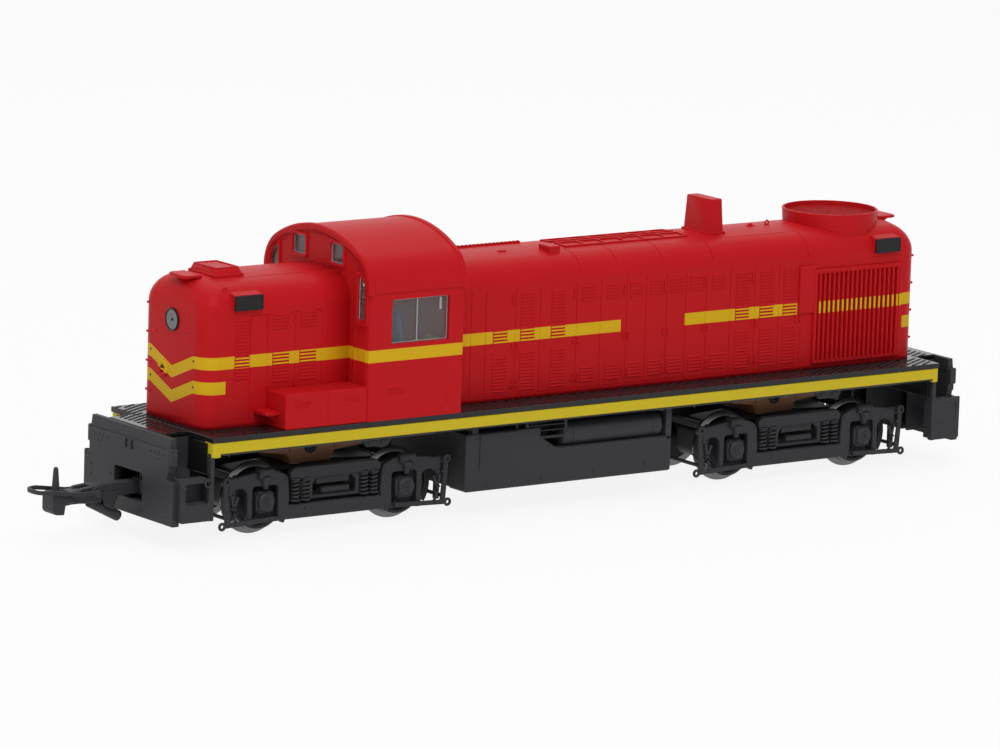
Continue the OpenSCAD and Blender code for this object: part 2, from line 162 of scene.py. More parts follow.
def both_ends(part):
    """A part at one end of the locomotive and the same one turned round at the other."""
    return joined(part, turned_round(part))


def both_hoods(part):
    """A part of the nose's face, and the same one turned round on the long hood's end."""
    return joined(part, shifted(turned_round(part), TAIL_X + NOSE_X))


def both_walls(part):
    """A part of the cab's front wall, and the same one turned round on its rear wall."""
    return joined(part, shifted(turned_round(part), 2 * CAB_MID))


def sheet(points, wrap=False, caps=()):
    """Quads between the neighbours of a grid of points (rows, columns, xyz).

    wrap joins the last column to the first, and caps names rows closed with one flat face.
    """
    points = np.asarray(points, float)
    rows, cols = points.shape[:2]
    row = np.arange(rows - 1)[:, None] * cols
    col = np.arange(cols if wrap else cols - 1)[None, :]
    after = (col + 1) % cols
    quads = np.stack([row + col, row + after, row + cols + after, row + cols + col], -1)
    faces = [quads.reshape(-1, 4)]
    faces += [(cap % rows) * cols + np.arange(cols)[None, :] for cap in caps]
    return points.reshape(-1, 3), faces


def corners_of_box():
    """Faces of a box whose eight corners are three points each: sides, edge strips, corners."""
    sign = np.array([[x, y, z] for x in (-1, 1) for y in (-1, 1) for z in (-1, 1)])
    sides, strips = [], []
    for axis in range(3):
        one, two = [a for a in range(3) if a != axis]
        for s in (-1, 1):
            ring = [(-1, -1), (1, -1), (1, 1), (-1, 1)]
            found = [int(np.flatnonzero((sign[:, axis] == s) & (sign[:, one] == a)
                                        & (sign[:, two] == b))[0]) for a, b in ring]
            sides.append([k * 3 + axis for k in found])
        for a in (-1, 1):
            for b in (-1, 1):
                pair = np.flatnonzero((sign[:, one] == a) & (sign[:, two] == b))
                near, far = int(pair[0]), int(pair[1])
                strips.append([near * 3 + one, far * 3 + one, far * 3 + two, near * 3 + two])
    tips = [[k * 3, k * 3 + 1, k * 3 + 2] for k in range(8)]
    return sign, np.array(sides + strips), np.array(tips)


BOX_SIGN, BOX_QUADS, BOX_TIPS = corners_of_box()


def blocks(low, high, edge=0.1):
    """Boxes between arrays of low and high corners, with every edge cut back by edge.

    A corner's three points each lie on one face, and are drawn in by edge along the other two axes.
    """
    low, high = np.atleast_2d(np.asarray(low, float)), np.atleast_2d(np.asarray(high, float))
    low, high = np.broadcast_arrays(low, high)
    low, high = np.minimum(low, high), np.maximum(low, high)
    half = (high - low) / 2
    cut = np.minimum(edge, half.min(1) * 0.45)[:, None, None, None]
    keep = np.eye(3)[None, None]
    reach = half[:, None, None, :] - cut * (1 - keep)
    points = (low + high)[:, None, None, :] / 2 + BOX_SIGN[None, :, None, :] * reach
    start = (np.arange(len(low)) * 24)[:, None, None]
    return (points.reshape(-1, 3),
            [(BOX_QUADS[None] + start).reshape(-1, 4), (BOX_TIPS[None] + start).reshape(-1, 3)])


def strips(start, end, profile, up=(0, 0, 1)):
    """Bars of one closed profile between arrays of start and end points.

    point = end of the bar + across * profile x + up * profile y, and both ends are closed.
    """
    start, end = np.atleast_2d(np.asarray(start, float)), np.atleast_2d(np.asarray(end, float))
    up = np.broadcast_to(unit(up), start.shape)
    across = unit(np.cross(end - start, up))
    profile = np.asarray(profile, float)
    ends = np.stack([start, end], 1)[:, :, None]
    points = (ends + across[:, None, None] * profile[None, None, :, :1]
              + up[:, None, None] * profile[None, None, :, 1:])
    many, size = len(start), len(profile)
    base = (np.arange(many) * 2 * size)[:, None]
    here = np.arange(size)[None]
    after = (here + 1) % size
    quads = np.stack([base + here, base + after, base + size + after, base + size + here], -1)
    return points.reshape(-1, 3), [quads.reshape(-1, 4), base + here, base + size + here]


def circle(radius, count=16, turn=0.0):
    """Points of a circle: radius times cosine and sine of even angles."""
    angle = turn + np.arange(count) * 2 * np.pi / count
    return np.stack([radius * np.cos(angle), radius * np.sin(angle)], -1)


def upright(flat):
    """Points (x, z) of a drawing set upright at y = 0."""
    return np.column_stack([flat[:, 0], np.zeros(len(flat)), flat[:, 1]])


def carried(path, profile, up=(0, 0, 1), closed=False):
    """A closed profile carried along a path of points.

    across = direction of travel x up, lift = across x travel,
    point = path + across * profile x + lift * profile y.
    """
    path, profile = np.asarray(path, float), np.asarray(profile, float)
    if closed:
        path = np.concatenate([path[-1:], path, path[:2]])
    travel = unit(np.gradient(path, axis=0))
    across = unit(np.cross(travel, np.broadcast_to(unit(up), path.shape)))
    lift = np.cross(across, travel)
    if closed:
        path, across, lift = path[1:-1], across[1:-1], lift[1:-1]
    points = (path[:, None] + across[:, None] * profile[None, :, :1]
              + lift[:, None] * profile[None, :, 1:])
    return sheet(points, wrap=True, caps=() if closed else (0, -1))


def turned(profile, centre=(0, 0, 0), axis=(0, 0, 1), count=32):
    """A profile of radius and height turned about an axis.

    point = centre + axis * height + radius * (side * cos angle + other side * sin angle).
    """
    axis = unit(axis)
    side = unit(np.cross(axis, (0.0, 1.0, 0.0) if abs(axis[1]) < 0.9 else (1.0, 0.0, 0.0)))
    other = np.cross(axis, side)
    profile = np.asarray(profile, float)
    angle = np.linspace(0, 2 * np.pi, count + 1)[:, None, None]
    spoke = side * np.cos(angle) + other * np.sin(angle)
    points = np.asarray(centre, float) + axis * profile[None, :, 1:] + spoke * profile[None, :, :1]
    return sheet(points, wrap=True)


def knobs(profile, places, way=(0, -1, 0), count=10):
    """The same turned part at each of several places."""
    return joined(*[turned(profile, place, way, count) for place in places])


def domed(top, cap, edge, radius, rim=0.0, root=0.2):
    """Profile of a stud: flat cap at its top, a slope from (cap, edge) to its rim, and a root below."""
    return [(0, top), (cap, edge), (radius, rim), (radius, -root), (0, -root)]


def hoop(radius, wire, place, count=12, wire_count=6):
    """An upright ring of round wire: a small circle carried round a circle in x and z."""
    return shifted(carried(upright(circle(radius, count)), circle(wire, wire_count), (0, 1, 0), True), *place)


def rounded(outline, reach, steps=5):
    """An outline whose corners are replaced by curves.

    Each corner C gets the points (1-t)^2 A + 2t(1-t) C + t^2 B, where A and B lie reach away from C.
    """
    outline = np.asarray(outline, float)
    reach = np.broadcast_to(np.asarray(reach, float), len(outline))[:, None]
    before, after = np.roll(outline, 1, 0) - outline, np.roll(outline, -1, 0) - outline
    room = np.minimum(np.linalg.norm(before, axis=1), np.linalg.norm(after, axis=1))[:, None]
    reach = np.minimum(reach, 0.48 * room)
    start, stop = outline + unit(before) * reach, outline + unit(after) * reach
    t = np.linspace(0, 1, steps)[None, :, None]
    curve = (1 - t) ** 2 * start[:, None] + 2 * t * (1 - t) * outline[:, None] + t ** 2 * stop[:, None]
    return curve.reshape(-1, 2)


def rectangle(low, high, reach=0.0):
    """The four corners of a rectangle, or its outline with corners rounded by reach."""
    corners = np.array([(low[0], low[1]), (high[0], low[1]), (high[0], high[1]), (low[0], high[1])], float)
    return rounded(corners, reach) if reach else corners


def plate(outlines, low, high, edge=0.12, lie="xz"):
    """A flat plate with a cut-back edge: its first outline is its rim, the others are holes.

    lie says which two axes the outlines are drawn on; low and high are its faces on the third.
    """
    curve = bpy.data.curves.new("plate", "CURVE")
    curve.dimensions, curve.fill_mode = "2D", "BOTH"
    curve.extrude, curve.bevel_depth, curve.bevel_resolution = (high - low) / 2 - edge, edge, 0
    curve.offset = -edge
    for number, outline in enumerate(outlines):
        outline = np.asarray(outline, float)[::-1 if number else 1]
        spline = curve.splines.new("POLY")
        spline.points.add(len(outline) - 1)
        flat = np.column_stack([outline, np.zeros(len(outline)), np.ones(len(outline))])
        spline.points.foreach_set("co", flat.ravel())
        spline.use_cyclic_u = True
    holder = bpy.data.objects.new("plate", curve)
    mesh = bpy.data.meshes.new_from_object(holder)
    flat = np.zeros(len(mesh.vertices) * 3)
    mesh.vertices.foreach_get("co", flat)
    flat = flat.reshape(-1, 3)
    sizes = np.zeros(len(mesh.polygons), np.int32)
    mesh.polygons.foreach_get("loop_total", sizes)
    loops = np.zeros(len(mesh.loops), np.int32)
    mesh.loops.foreach_get("vertex_index", loops)
    starts = np.concatenate([[0], np.cumsum(sizes)[:-1]])
    faces = [loops[starts[sizes == n][:, None] + np.arange(n)] for n in np.unique(sizes)]
    bpy.data.objects.remove(holder)
    bpy.data.curves.remove(curve)
    bpy.data.meshes.remove(mesh)
    points = np.zeros_like(flat)
    axes = ["xyz".index(a) for a in lie]
    third = 3 - sum(axes)
    points[:, axes[0]], points[:, axes[1]] = flat[:, 0], flat[:, 1]
    points[:, third] = (low + high) / 2 + flat[:, 2]
    return points, faces


def new_piece(name, part, stands_for=(), slot="body_red", body="chassis", crease=32, material=None):
    """Puts points (millimetres) and faces into a mesh that rides on a body."""
    verts, faces = part
    mesh = bpy.data.meshes.new(name)
    loops = np.concatenate([face.ravel() for face in faces]).astype(np.int32)
    totals = np.concatenate([np.full(len(face), face.shape[1]) for face in faces]).astype(np.int32)
    mesh.vertices.add(len(verts))
    mesh.vertices.foreach_set("co", (np.asarray(verts) * MM).ravel())
    mesh.loops.add(len(loops))
    mesh.loops.foreach_set("vertex_index", loops)
    mesh.polygons.add(len(totals))
    mesh.polygons.foreach_set("loop_start", np.concatenate([[0], np.cumsum(totals)[:-1]]))
    mesh.polygons.foreach_set("loop_total", totals)
    mesh.update(calc_edges=True)
    return finished(name, mesh, stands_for, slot, body, crease, material)


def finished(name, mesh, stands_for, slot, body="chassis", crease=32, material=None):
    """Makes a mesh a piece that rides on a body, with its slot's finish or a material of its own.

    Doubles are merged, the faces are turned outwards, and edges sharper than crease stay sharp.
    """
    work = bmesh.new()
    work.from_mesh(mesh)
    bmesh.ops.remove_doubles(work, verts=work.verts, dist=DOUBLE)
    bmesh.ops.recalc_face_normals(work, faces=work.faces)
    work.to_mesh(mesh)
    work.free()
    mesh.shade_smooth()
    mesh.set_sharp_from_angle(angle=math.radians(crease))
    mesh.materials.append(material or finish_of(slot))
    piece = bpy.data.objects.new(name, mesh)
    bpy.context.scene.collection.objects.link(piece)
    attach(piece, body)
    if stands_for:
        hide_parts(*stands_for)
    return piece


def refined(node, slot, edge=0.12, segments=2):
    """A merged copy of a CAD node with its edges rounded, which stands for the node."""
    mesh = frame["nodes"][node].data.copy()
    mesh.materials.clear()
    work = bmesh.new()
    work.from_mesh(mesh)
    bmesh.ops.remove_doubles(work, verts=work.verts, dist=DOUBLE)
    bmesh.ops.dissolve_limit(work, angle_limit=math.radians(1), verts=work.verts, edges=work.edges)
    work.to_mesh(mesh)
    work.free()
    for layer in list(mesh.uv_layers):
        mesh.uv_layers.remove(layer)
    piece = finished(node + "_shell", mesh, (node,), slot)
    bevel = piece.modifiers.new("edges", "BEVEL")
    bevel.width, bevel.segments, bevel.limit_method = edge * MM, segments, "ANGLE"
    bevel.angle_limit = math.radians(32)
    bevel.use_clamp_overlap = True
    return piece


# ---------------------------------------------------------------- materials


def add(tree, kind, inputs, **settings):
    """A new node with its settings; each input takes a value, or the socket that feeds it."""
    node = tree.nodes.new("ShaderNode" + kind)
    for key, value in settings.items():
        setattr(node, key, value)
    for key, value in inputs.items():
        if isinstance(value, bpy.types.NodeSocket):
            tree.links.new(value, node.inputs[key])
        else:
            node.inputs[key].default_value = value
    return node


def math_of(tree, operation, one, two=0.0):
    """The result of a Math node on two values or sockets."""
    return add(tree, "Math", {0: one, 1: two}, operation=operation).outputs[0]


def plastic(name, colour, roughness=0.38, grain=0.0, grain_size=0.25, mottle=0.04, metallic=0.0, shine=0.22):
    """Moulded or painted surface: a faint colour mottle and a fine moulded grain."""
    material = bpy.data.materials.new(name)
    material.use_nodes = True
    tree = material.node_tree
    shader = tree.nodes["Principled BSDF"].inputs
    shader["Metallic"].default_value = metallic
    shader["Specular IOR Level"].default_value = shine
    where = add(tree, "TexCoord", {}).outputs["Object"]
    noise = add(tree, "TexNoise", {"Scale": 60, "Detail": 4, "Vector": where}).outputs["Fac"]
    dark, light = ((*[min(1, c * (1 + change)) for c in colour], 1) for change in (-mottle, mottle))
    blend = add(tree, "Mix", {0: noise, 6: dark, 7: light}, data_type="RGBA")
    tree.links.new(blend.outputs[2], shader["Base Color"])
    rough = add(tree, "MapRange", {"To Min": roughness - 0.05, "To Max": roughness + 0.05, "Value": noise})
    tree.links.new(rough.outputs["Result"], shader["Roughness"])
    if grain:
        fine = add(tree, "TexNoise", {"Scale": 1 / (grain_size * MM), "Vector": where})
        bump = add(tree, "Bump", {"Strength": grain, "Distance": 0.02 * MM, "Height": fine.outputs["Fac"]})
        tree.links.new(bump.outputs["Normal"], shader["Normal"])
    return material


def painted_body(name, proud=0.0):
    """The body's plastic with its printed stripes.

    A point is in a stripe when z + slope * max(0, half width - |y|) lies between the stripe's
    edges. The main stripe leaves out a bare length of hood, the plain case ahead of the
    shutters, and what lies between the shutters' slats; the lower stripe is only at the two ends.
    proud is how far from the hood's side a point has to stand to take the stripe.
    """
    paint, stripe = bpy.context.scene.loco_paint, bpy.context.scene.loco_stripe
    material = plastic(name, paint.body, 0.4, 0.12, shine=0.08)
    tree = material.node_tree
    colour_in = tree.nodes["Principled BSDF"].inputs["Base Color"]
    where = next(node for node in tree.nodes if node.type == "TEX_COORD")

    def work(operation, one, two=0.0):
        return math_of(tree, operation, one, two)

    def between(value, low, high):
        return work("MULTIPLY", work("GREATER_THAN", value, low), work("LESS_THAN", value, high))

    x, y, z = add(tree, "SeparateXYZ", {0: where.outputs["Object"]}).outputs
    width = work("ABSOLUTE", y)
    fall = work("MULTIPLY", work("MAXIMUM", work("SUBTRACT", NOSE_FLAT * MM, width), 0.0), stripe.drop)
    level = work("ADD", z, fall)
    main = between(level, stripe.low, stripe.high)
    if proud:
        main = work("MULTIPLY", main, work("GREATER_THAN", width, (HOOD_HALF + proud) * MM))
    bare_length = between(x, BARE_HOOD[0] * MM, BARE_HOOD[1] * MM)
    case = between(x, PLAIN_CASE[0] * MM, PLAIN_CASE[1] * MM)
    behind_slats = work("MULTIPLY", between(x, SLATS[0] * MM, SLATS[1] * MM),
                        work("LESS_THAN", width, (HOOD_HALF + SLAT_PROUD) * MM))
    bare = work("MAXIMUM", work("MAXIMUM", bare_length, case), behind_slats)
    main = work("MULTIPLY", main, work("SUBTRACT", 1.0, bare))
    ends = work("MAXIMUM", work("LESS_THAN", x, LOWER_STRIPE[0] * MM),
                work("GREATER_THAN", x, LOWER_STRIPE[1] * MM))
    lower = between(level, stripe.low - 4.5 * MM, stripe.high - 4.45 * MM)
    mask = work("MAXIMUM", main, work("MULTIPLY", lower, ends))
    print_over = add(tree, "Mix", {0: mask, 6: colour_in.links[0].from_socket, 7: (*paint.stripe, 1)},
                     data_type="RGBA")
    tree.links.new(print_over.outputs[2], colour_in)
    return material


def clear_glass(name, colour):
    """Clear moulded plastic that shows the inside, very slightly uneven."""
    material = plastic(name, colour, 0.06, 0.05, 2.0, 0.02, shine=0.5)
    shader = material.node_tree.nodes["Principled BSDF"]
    shader.inputs["Transmission Weight"].default_value = 0.95
    shader.inputs["IOR"].default_value = 1.3
    return material


NOSE_FLAT = 7.0  # half width of the nose's flat face, over which the chevrons fall
BARE_HOOD, PLAIN_CASE, SLATS = (11.2, 26.1), (52.8, 56.9), (56.8, 77.1)  # lengths without a main stripe
SLAT_PROUD = 0.7  # how far from the hood's side the slats' stripe starts
LOWER_STRIPE = (-76.4, 78.4)  # the lower stripe lies beyond these places
MATERIALS = {}


def finish_of(name):
    """The material of a record slot, or one of two paints besides, made on first use."""
    paint = bpy.context.scene.loco_paint
    if name not in MATERIALS:
        makers = {
            "body_red": lambda: painted_body(name),
            "louvre_red": lambda: painted_body(name, 0.09),
            "frame_black": lambda: plastic(name, paint.frame, 0.5, 0.2),
            "sill_deck": lambda: plastic(name, (0.014, 0.013, 0.014), 0.15, 0.03, shine=0.3),
            "sill_yellow": lambda: plastic(name, paint.sill, 0.4, 0.08, mottle=0.05),
            "tread_black": lambda: plastic(name, (0.012, 0.012, 0.013), 0.55, 0.1, shine=0.12),
            "clear_panes": lambda: clear_glass(name, (0.84, 0.87, 0.88)),
            "lamp_lens": lambda: plastic(name, (0.2, 0.2, 0.2), 0.3),
            "board_black": lambda: plastic(name, (0.012, 0.012, 0.012), 0.3),
            "gear_brown": lambda: plastic(name, paint.gears, 0.5),
            # the wheels' metal has a dark base colour: painted shade, standing for the shadowed underside
            # that the treads reflect
            "wheel_metal": lambda: plastic(name, (0.15, 0.15, 0.155), 0.26, metallic=1),
            "motor_metal": lambda: plastic(name, (0.34, 0.34, 0.35), 0.35, metallic=1),
            "cab_grey": lambda: plastic(name, (0.05, 0.055, 0.06), 0.6),
            "seat_blue": lambda: plastic(name, (0.02, 0.06, 0.16), 0.6),
        }
        MATERIALS[name] = makers[name]()
    return MATERIALS[name]


# ---------------------------------------------------------------- hoods


SHOULDER, CROWN, HOOD_WALL = 5.2, 34.0, 1.2
SHOULDER_TURN = math.asin((HOOD_HALF - SHOULDER) / (CROWN - SHOULDER))
SHOULDER_Z = HOOD_TOP - CROWN + (CROWN - SHOULDER) * math.cos(SHOULDER_TURN)
CROWN_RUN = CROWN * SHOULDER_TURN
SIDE_RUN = CROWN_RUN + SHOULDER * (math.pi / 2 - SHOULDER_TURN)
SKIRT_RUN = SIDE_RUN + SHOULDER_Z - DECK_TOP
SEAM_LIP, SEAM_FLOOR, SEAM_DEPTH = 0.12, 0.05, 0.12  # half widths of a groove, and its depth
NEAR, ALONG = 0.005, 0.01  # how exactly a point has to lie on a seam, across it and along it


def run_at(z):
    """Run along the hood's section, from the crown's middle, at which its flat side has height z."""
    return SIDE_RUN + SHOULDER_Z - z


def section(run):
    """Place and outward direction on the hood's section at a run from the crown's middle.

    On the crown the direction turns by run / crown radius, on the shoulder by run / shoulder
    radius, and on the side it is level.
    """
    run = np.asarray(run, float)
    side, run = np.sign(run), np.abs(run)
    lean = np.where(run < CROWN_RUN, run / CROWN,
                    np.minimum(SHOULDER_TURN + (run - CROWN_RUN) / SHOULDER, np.pi / 2))
    y = np.where(run < CROWN_RUN, CROWN * np.sin(lean),
                 HOOD_HALF - SHOULDER + SHOULDER * np.sin(lean))
    z = np.where(run < CROWN_RUN, HOOD_TOP - CROWN + CROWN * np.cos(lean),
                 SHOULDER_Z + SHOULDER * np.cos(lean)) - np.maximum(run - SIDE_RUN, 0)
    return (np.stack([y * side, z], -1), np.stack([np.sin(lean) * side, np.cos(lean)], -1))


def on_hood(part):
    """Bends a part drawn flat as (x, run from the crown, height) onto the hood's surface."""
    def bend(points):
        place, out = section(points[:, 1])
        place = place + out * points[:, 2:3]
        return np.column_stack([points[:, 0], place])
    return moved(part, bend)


def groove(places):
    """The four places of each seam in order: lip, floor, floor, lip."""
    return (places[:, None] + [-SEAM_LIP, -SEAM_FLOOR, SEAM_FLOOR, SEAM_LIP]).ravel()


def hood_skin(cab_end, far_end, seams_across, seams_along, side_round=3.4, top_round=4.8):
    """A hood as one sheet: x runs from the cab to the far end, run round the section.

    At the far end the rows swing through a quarter turn t: the sheet draws in along its own
    direction by round * (1 - cos t) while x goes on by round * sin t, and round grows from the
    sides to the top. A seam is a groove: the points between its two lips lie deeper.
    seams_across holds (x, run, run), and seams_along (run, x, x).
    """
    way = 1 if far_end > cab_end else -1
    length = abs(far_end - cab_end)
    straight = length - top_round - 0.01
    rows = groove(np.array([abs(seam[0] - cab_end) for seam in seams_across]))
    rows = np.unique(np.round(np.clip(np.concatenate([[0, straight], rows]), 0, straight), 4))
    runs = np.concatenate([np.linspace(0, CROWN_RUN, 7), np.linspace(CROWN_RUN, SIDE_RUN, 15)[1:],
                           [SIDE_RUN + 1, SKIRT_RUN, run_at(22)],
                           groove(np.array([abs(seam[0]) for seam in seams_along])),
                           [abs(run) for seam in seams_across for run in seam[1:]]])
    runs = np.unique(np.round(np.clip(runs, 0, SKIRT_RUN), 4))
    runs = np.concatenate([-runs[:0:-1], runs])
    place, out = section(runs)
    turn = np.linspace(0, np.pi / 2, 10)[1:, None]
    reach = side_round + (top_round - side_round) * out[:, 1] ** 2
    exact = np.repeat(rows[:, None], len(runs), 1)
    # each column is stretched to its own rounding, but a seam's rows stay straight
    x_flat = exact * ((length - reach) / straight)
    sunk = np.zeros_like(exact)
    for x, low, high in seams_across:
        gap = np.abs(exact - abs(x - cab_end))
        between = (np.abs(runs) >= low - ALONG) & (np.abs(runs) <= high + ALONG)
        sunk = np.where((gap < SEAM_FLOOR + NEAR) & between[None], SEAM_DEPTH, sunk)
        x_flat = np.where(gap < SEAM_LIP + NEAR, exact, x_flat)
    for run, low, high in seams_along:
        near = np.abs(np.abs(runs) - run) < SEAM_FLOOR + NEAR
        between = (cab_end + way * exact >= low - ALONG) & (cab_end + way * exact <= high + ALONG)
        sunk = np.where(near[None] & between, SEAM_DEPTH, sunk)
    x = np.concatenate([x_flat, length - reach + reach * np.sin(turn)])
    inward = np.concatenate([sunk, reach * (1 - np.cos(turn))])
    yz = place[None] - out[None] * inward[..., None]
    points = np.concatenate([(cab_end + way * x)[..., None], yz], -1)
    return sheet(points, caps=(-1,))


# where the doors of the two hoods meet, and their heights
DOOR_SEAMS = (-23.0, -19.7, -13.0, -7.4, 0.9, 6.4, 12.4, 16.9, 21.7, 26.2, 31.0, 36.7, 42.5, 48.3, 53.6)
SHORT_SEAMS = (-71.3, -67.6, -61.7, -55.9)
DOOR_TOP, SHORT_DOOR_TOP, DOOR_FOOT = 41.0, 40.4, 21.2


class LOCO_OT_hoods(bpy.types.Operator):
    """Build the two hoods with the seams of their doors and roof panels"""

    bl_idname = "loco.hoods"
    bl_label = "Hoods"

    def execute(self, context):
        roof = [(2.0, 4.6, SIDE_RUN - 2), (10.5, 4.6, SIDE_RUN - 2.6), (21.0, 4.6, SIDE_RUN - 2.6),
                (32.6, 0, SIDE_RUN - 2), (55.2, 6.2, SIDE_RUN - 1)]
        along = [(6.2, 32.6, 55.2), (run_at(DOOR_FOOT), -23, 53.6)]
        self.shell("long_hood", CAB_X2, TAIL_X, self.doors(DOOR_SEAMS, DOOR_TOP) + roof, along)
        along = [(run_at(SHORT_DOOR_TOP), -71.3, -55.9), (5.0, -68.4, -55.0)]
        self.shell("short_hood", CAB_X1, NOSE_X, self.doors(SHORT_SEAMS, SHORT_DOOR_TOP), along)
        return {"FINISHED"}

    def doors(self, seams, top):
        return [(x, run_at(top), run_at(DOOR_FOOT)) for x in seams]

    def shell(self, node, cab_end, far_end, across, along):
        skin = hood_skin(cab_end, far_end, across, along)
        wall = new_piece(node + "_shell", skin, (node,), crease=38).modifiers.new("wall", "SOLIDIFY")
        wall.thickness, wall.offset = HOOD_WALL * MM, -1
        wall.use_even_offset = False


def louvre_bank(x, low, count, width=3.0, pitch=0.62):
    """Raised louvres one above another on the near flat side of a hood.

    Each is a bar of a wedge profile: flush at its top edge, proud at its bottom edge.
    """
    z = low + np.arange(count) * pitch
    start = np.stack([np.full(count, x - width / 2), np.full(count, -HOOD_HALF), z], -1)
    wedge = [(-0.1, 0.0), (0.16, 0.02), (0.2, 0.1), (0.02, 0.42), (-0.1, 0.42)]
    bars = strips(start, start + [width, 0, 0], wedge)
    pad = blocks((x - width / 2 - 0.1, -HOOD_HALF - 0.03, low - 0.1),
                 (x + width / 2 + 0.1, -HOOD_HALF + 0.1, low + (count - 1) * pitch + 0.5), 0.01)
    return joined(bars, pad)


class LOCO_OT_side_details(bpy.types.Operator):
    """Build the louvres, latches and door furniture on the sides of the hoods"""

    bl_idname = "loco.side_details"
    bl_label = "Hood sides"

    def execute(self, context):
        banks = []
        for number, (x0, x1) in enumerate(zip(DOOR_SEAMS, DOOR_SEAMS[1:])):
            rows = ((22.3, 5), (37.5, 5))
            if number == 0:
                continue
            if number == 1:
                rows = ((21.9, 11), (31.1, 4))
            elif number in (2, 3, 11, 12, 13):
                rows = ((21.9, 12), (31.1, 4), (34.2, 10))
            banks += [louvre_bank((x1 + x0) / 2, low, count, min(3.1, x1 - x0 - 1.4)) for low, count in rows]
        lips = finish_of("louvre_red")
        new_piece("long_hood_louvres", mirrored(joined(*banks)), material=lips)
        banks = [louvre_bank(-73.0, 29.0, 18, 3.0)]
        banks += [louvre_bank(x, low, count, 3.4)
                  for x in (-64.7, -58.9) for low, count in ((28.0, 5), (31.2, 4), (37.6, 5))]
        new_piece("short_hood_louvres", mirrored(joined(*banks)), material=lips)
        self.latches()
        self.shutters()
        return {"FINISHED"}

    def latches(self):
        """Upright latches, each (x, foot, height), with a flat tab across each one."""
        tall = [(x + dx, z, h) for x in (-13.0, 0.9, 12.4, 21.7, 31.0, 42.5, 53.0) for dx, z, h in
                ((-0.55, 38.0, 1.9), (-0.55, 29.6, 1.3), (0.55, 29.6, 1.3), (-0.6, 22.4, 1.7),
                 (0.6, 22.4, 1.7))]
        short = [(x, z, h) for x in (-67.6, -61.7) for z, h in ((38.2, 1.5), (27.2, 1.3))]
        x, z, height = np.array(tall + short).T
        low = np.stack([x - 0.16, np.full(len(x), -HOOD_HALF - 0.24), z], -1)
        high = np.stack([x + 0.16, np.full(len(x), -HOOD_HALF + 0.1), z + height], -1)
        tab = np.stack([x - 0.42, np.full(len(x), -HOOD_HALF - 0.16), z + 0.3], -1)
        latches = joined(blocks(low, high, 0.06), blocks(tab, tab + [0.84, 0.26, 0.42], 0.06))
        new_piece("door_latches", mirrored(latches))

    def shutters(self):
        """The radiator shutters: a frame round upright slats, and the flat case ahead of them."""
        low, high = box_mm("radiator_shutters")
        x0, x1, z0, z1, count = low[0], high[0], low[2], high[2], 18
        rim = rectangle((x0, z0), (x1, z1 + 0.5), 0.4)
        hole = rectangle((x0 + 0.7, z0 + 0.6), (x1 - 0.7, z1 - 0.3), 0.3)
        rims = plate([rim, hole], -HOOD_HALF - 0.62, -HOOD_HALF + 0.1, 0.1)
        start = np.stack([np.linspace(x0 + 1.2, x1 - 1.2, count), np.full(count, -HOOD_HALF),
                          np.full(count, z0 + 0.5)], -1)
        slat = [(-0.22, -0.78), (-0.12, -0.86), (0.12, -0.86), (0.22, -0.78), (0.24, 0.1), (-0.24, 0.1)]
        slats = strips(start, start + [0, 0, z1 - z0 - 0.7], slat, up=(0, 1, 0))
        case = blocks((x0 - 3.5, -HOOD_HALF - 0.45, 31.2), (x0 + 0.2, -HOOD_HALF + 0.1, 40.3), 0.16)
        new_piece("radiator_shutters_both", mirrored(joined(rims, slats, case)), ("radiator_shutters",))


# ---------------------------------------------------------------- cab


CAB_SIDE = box_mm("cab_side_right")[1][1]
EAVE = CAB_LOW[2]
PANE_LOW = box_mm("cab_glazing")[0]
ROOF_SHAPE = (CAB_HIGH[1], CAB_HIGH[2], 28.0, 7.0)


def arch(inset, foot, steps=9):
    """Outline over the cab, inset all round from its roof: side, shoulder, crown, shoulder, side.

    Shoulder and crown are arcs that meet where both lean by asin((half - r) / (R - r)).
    """
    half, top, crown, shoulder = (size - inset for size in ROOF_SHAPE)
    lean = math.asin((half - shoulder) / (crown - shoulder))
    centre_z = top - crown + (crown - shoulder) * math.cos(lean)
    down = np.linspace(np.pi / 2, lean, steps)
    over = np.linspace(lean, -lean, 2 * steps)[1:-1]
    near = np.stack([half - shoulder + shoulder * np.sin(down), centre_z + shoulder * np.cos(down)], -1)
    middle = np.stack([crown * np.sin(over), top - crown + crown * np.cos(over)], -1)
    return np.concatenate([[(half, foot)], near, middle, near[::-1] * [-1, 1], [(-half, foot)]])


def arch_band(inset, wall, foot, x0, x1, edge=0.12):
    """A band over the cab between two insets, from x0 to x1."""
    ring = np.concatenate([arch(inset, foot), arch(inset + wall, foot)[::-1]])
    return plate([ring], x0, x1, edge, "yz")


SIDE_WINDOW = ((PANE_LOW[0] + 4.6, 34.2), (PANE_LOW[0] + 17.2, 42.3))
DOOR_WINDOW = np.array([(-15.5, 38.6), (-13.3, 38.6), (-13.3, 46.5), (-14.2, 46.3), (-15.5, 44.9)])
FAR_WINDOW = np.array([(12.7, 38.6), (15.4, 38.6), (15.6, 45.6), (14.6, 47.4), (12.9, 48.6)])
END_WINDOWS = [rectangle((s * 6.1 - 2.0, 47.75), (s * 6.1 + 2.0, 51.25)) for s in (-1, 1)]
END_WINDOWS += [DOOR_WINDOW, FAR_WINDOW]


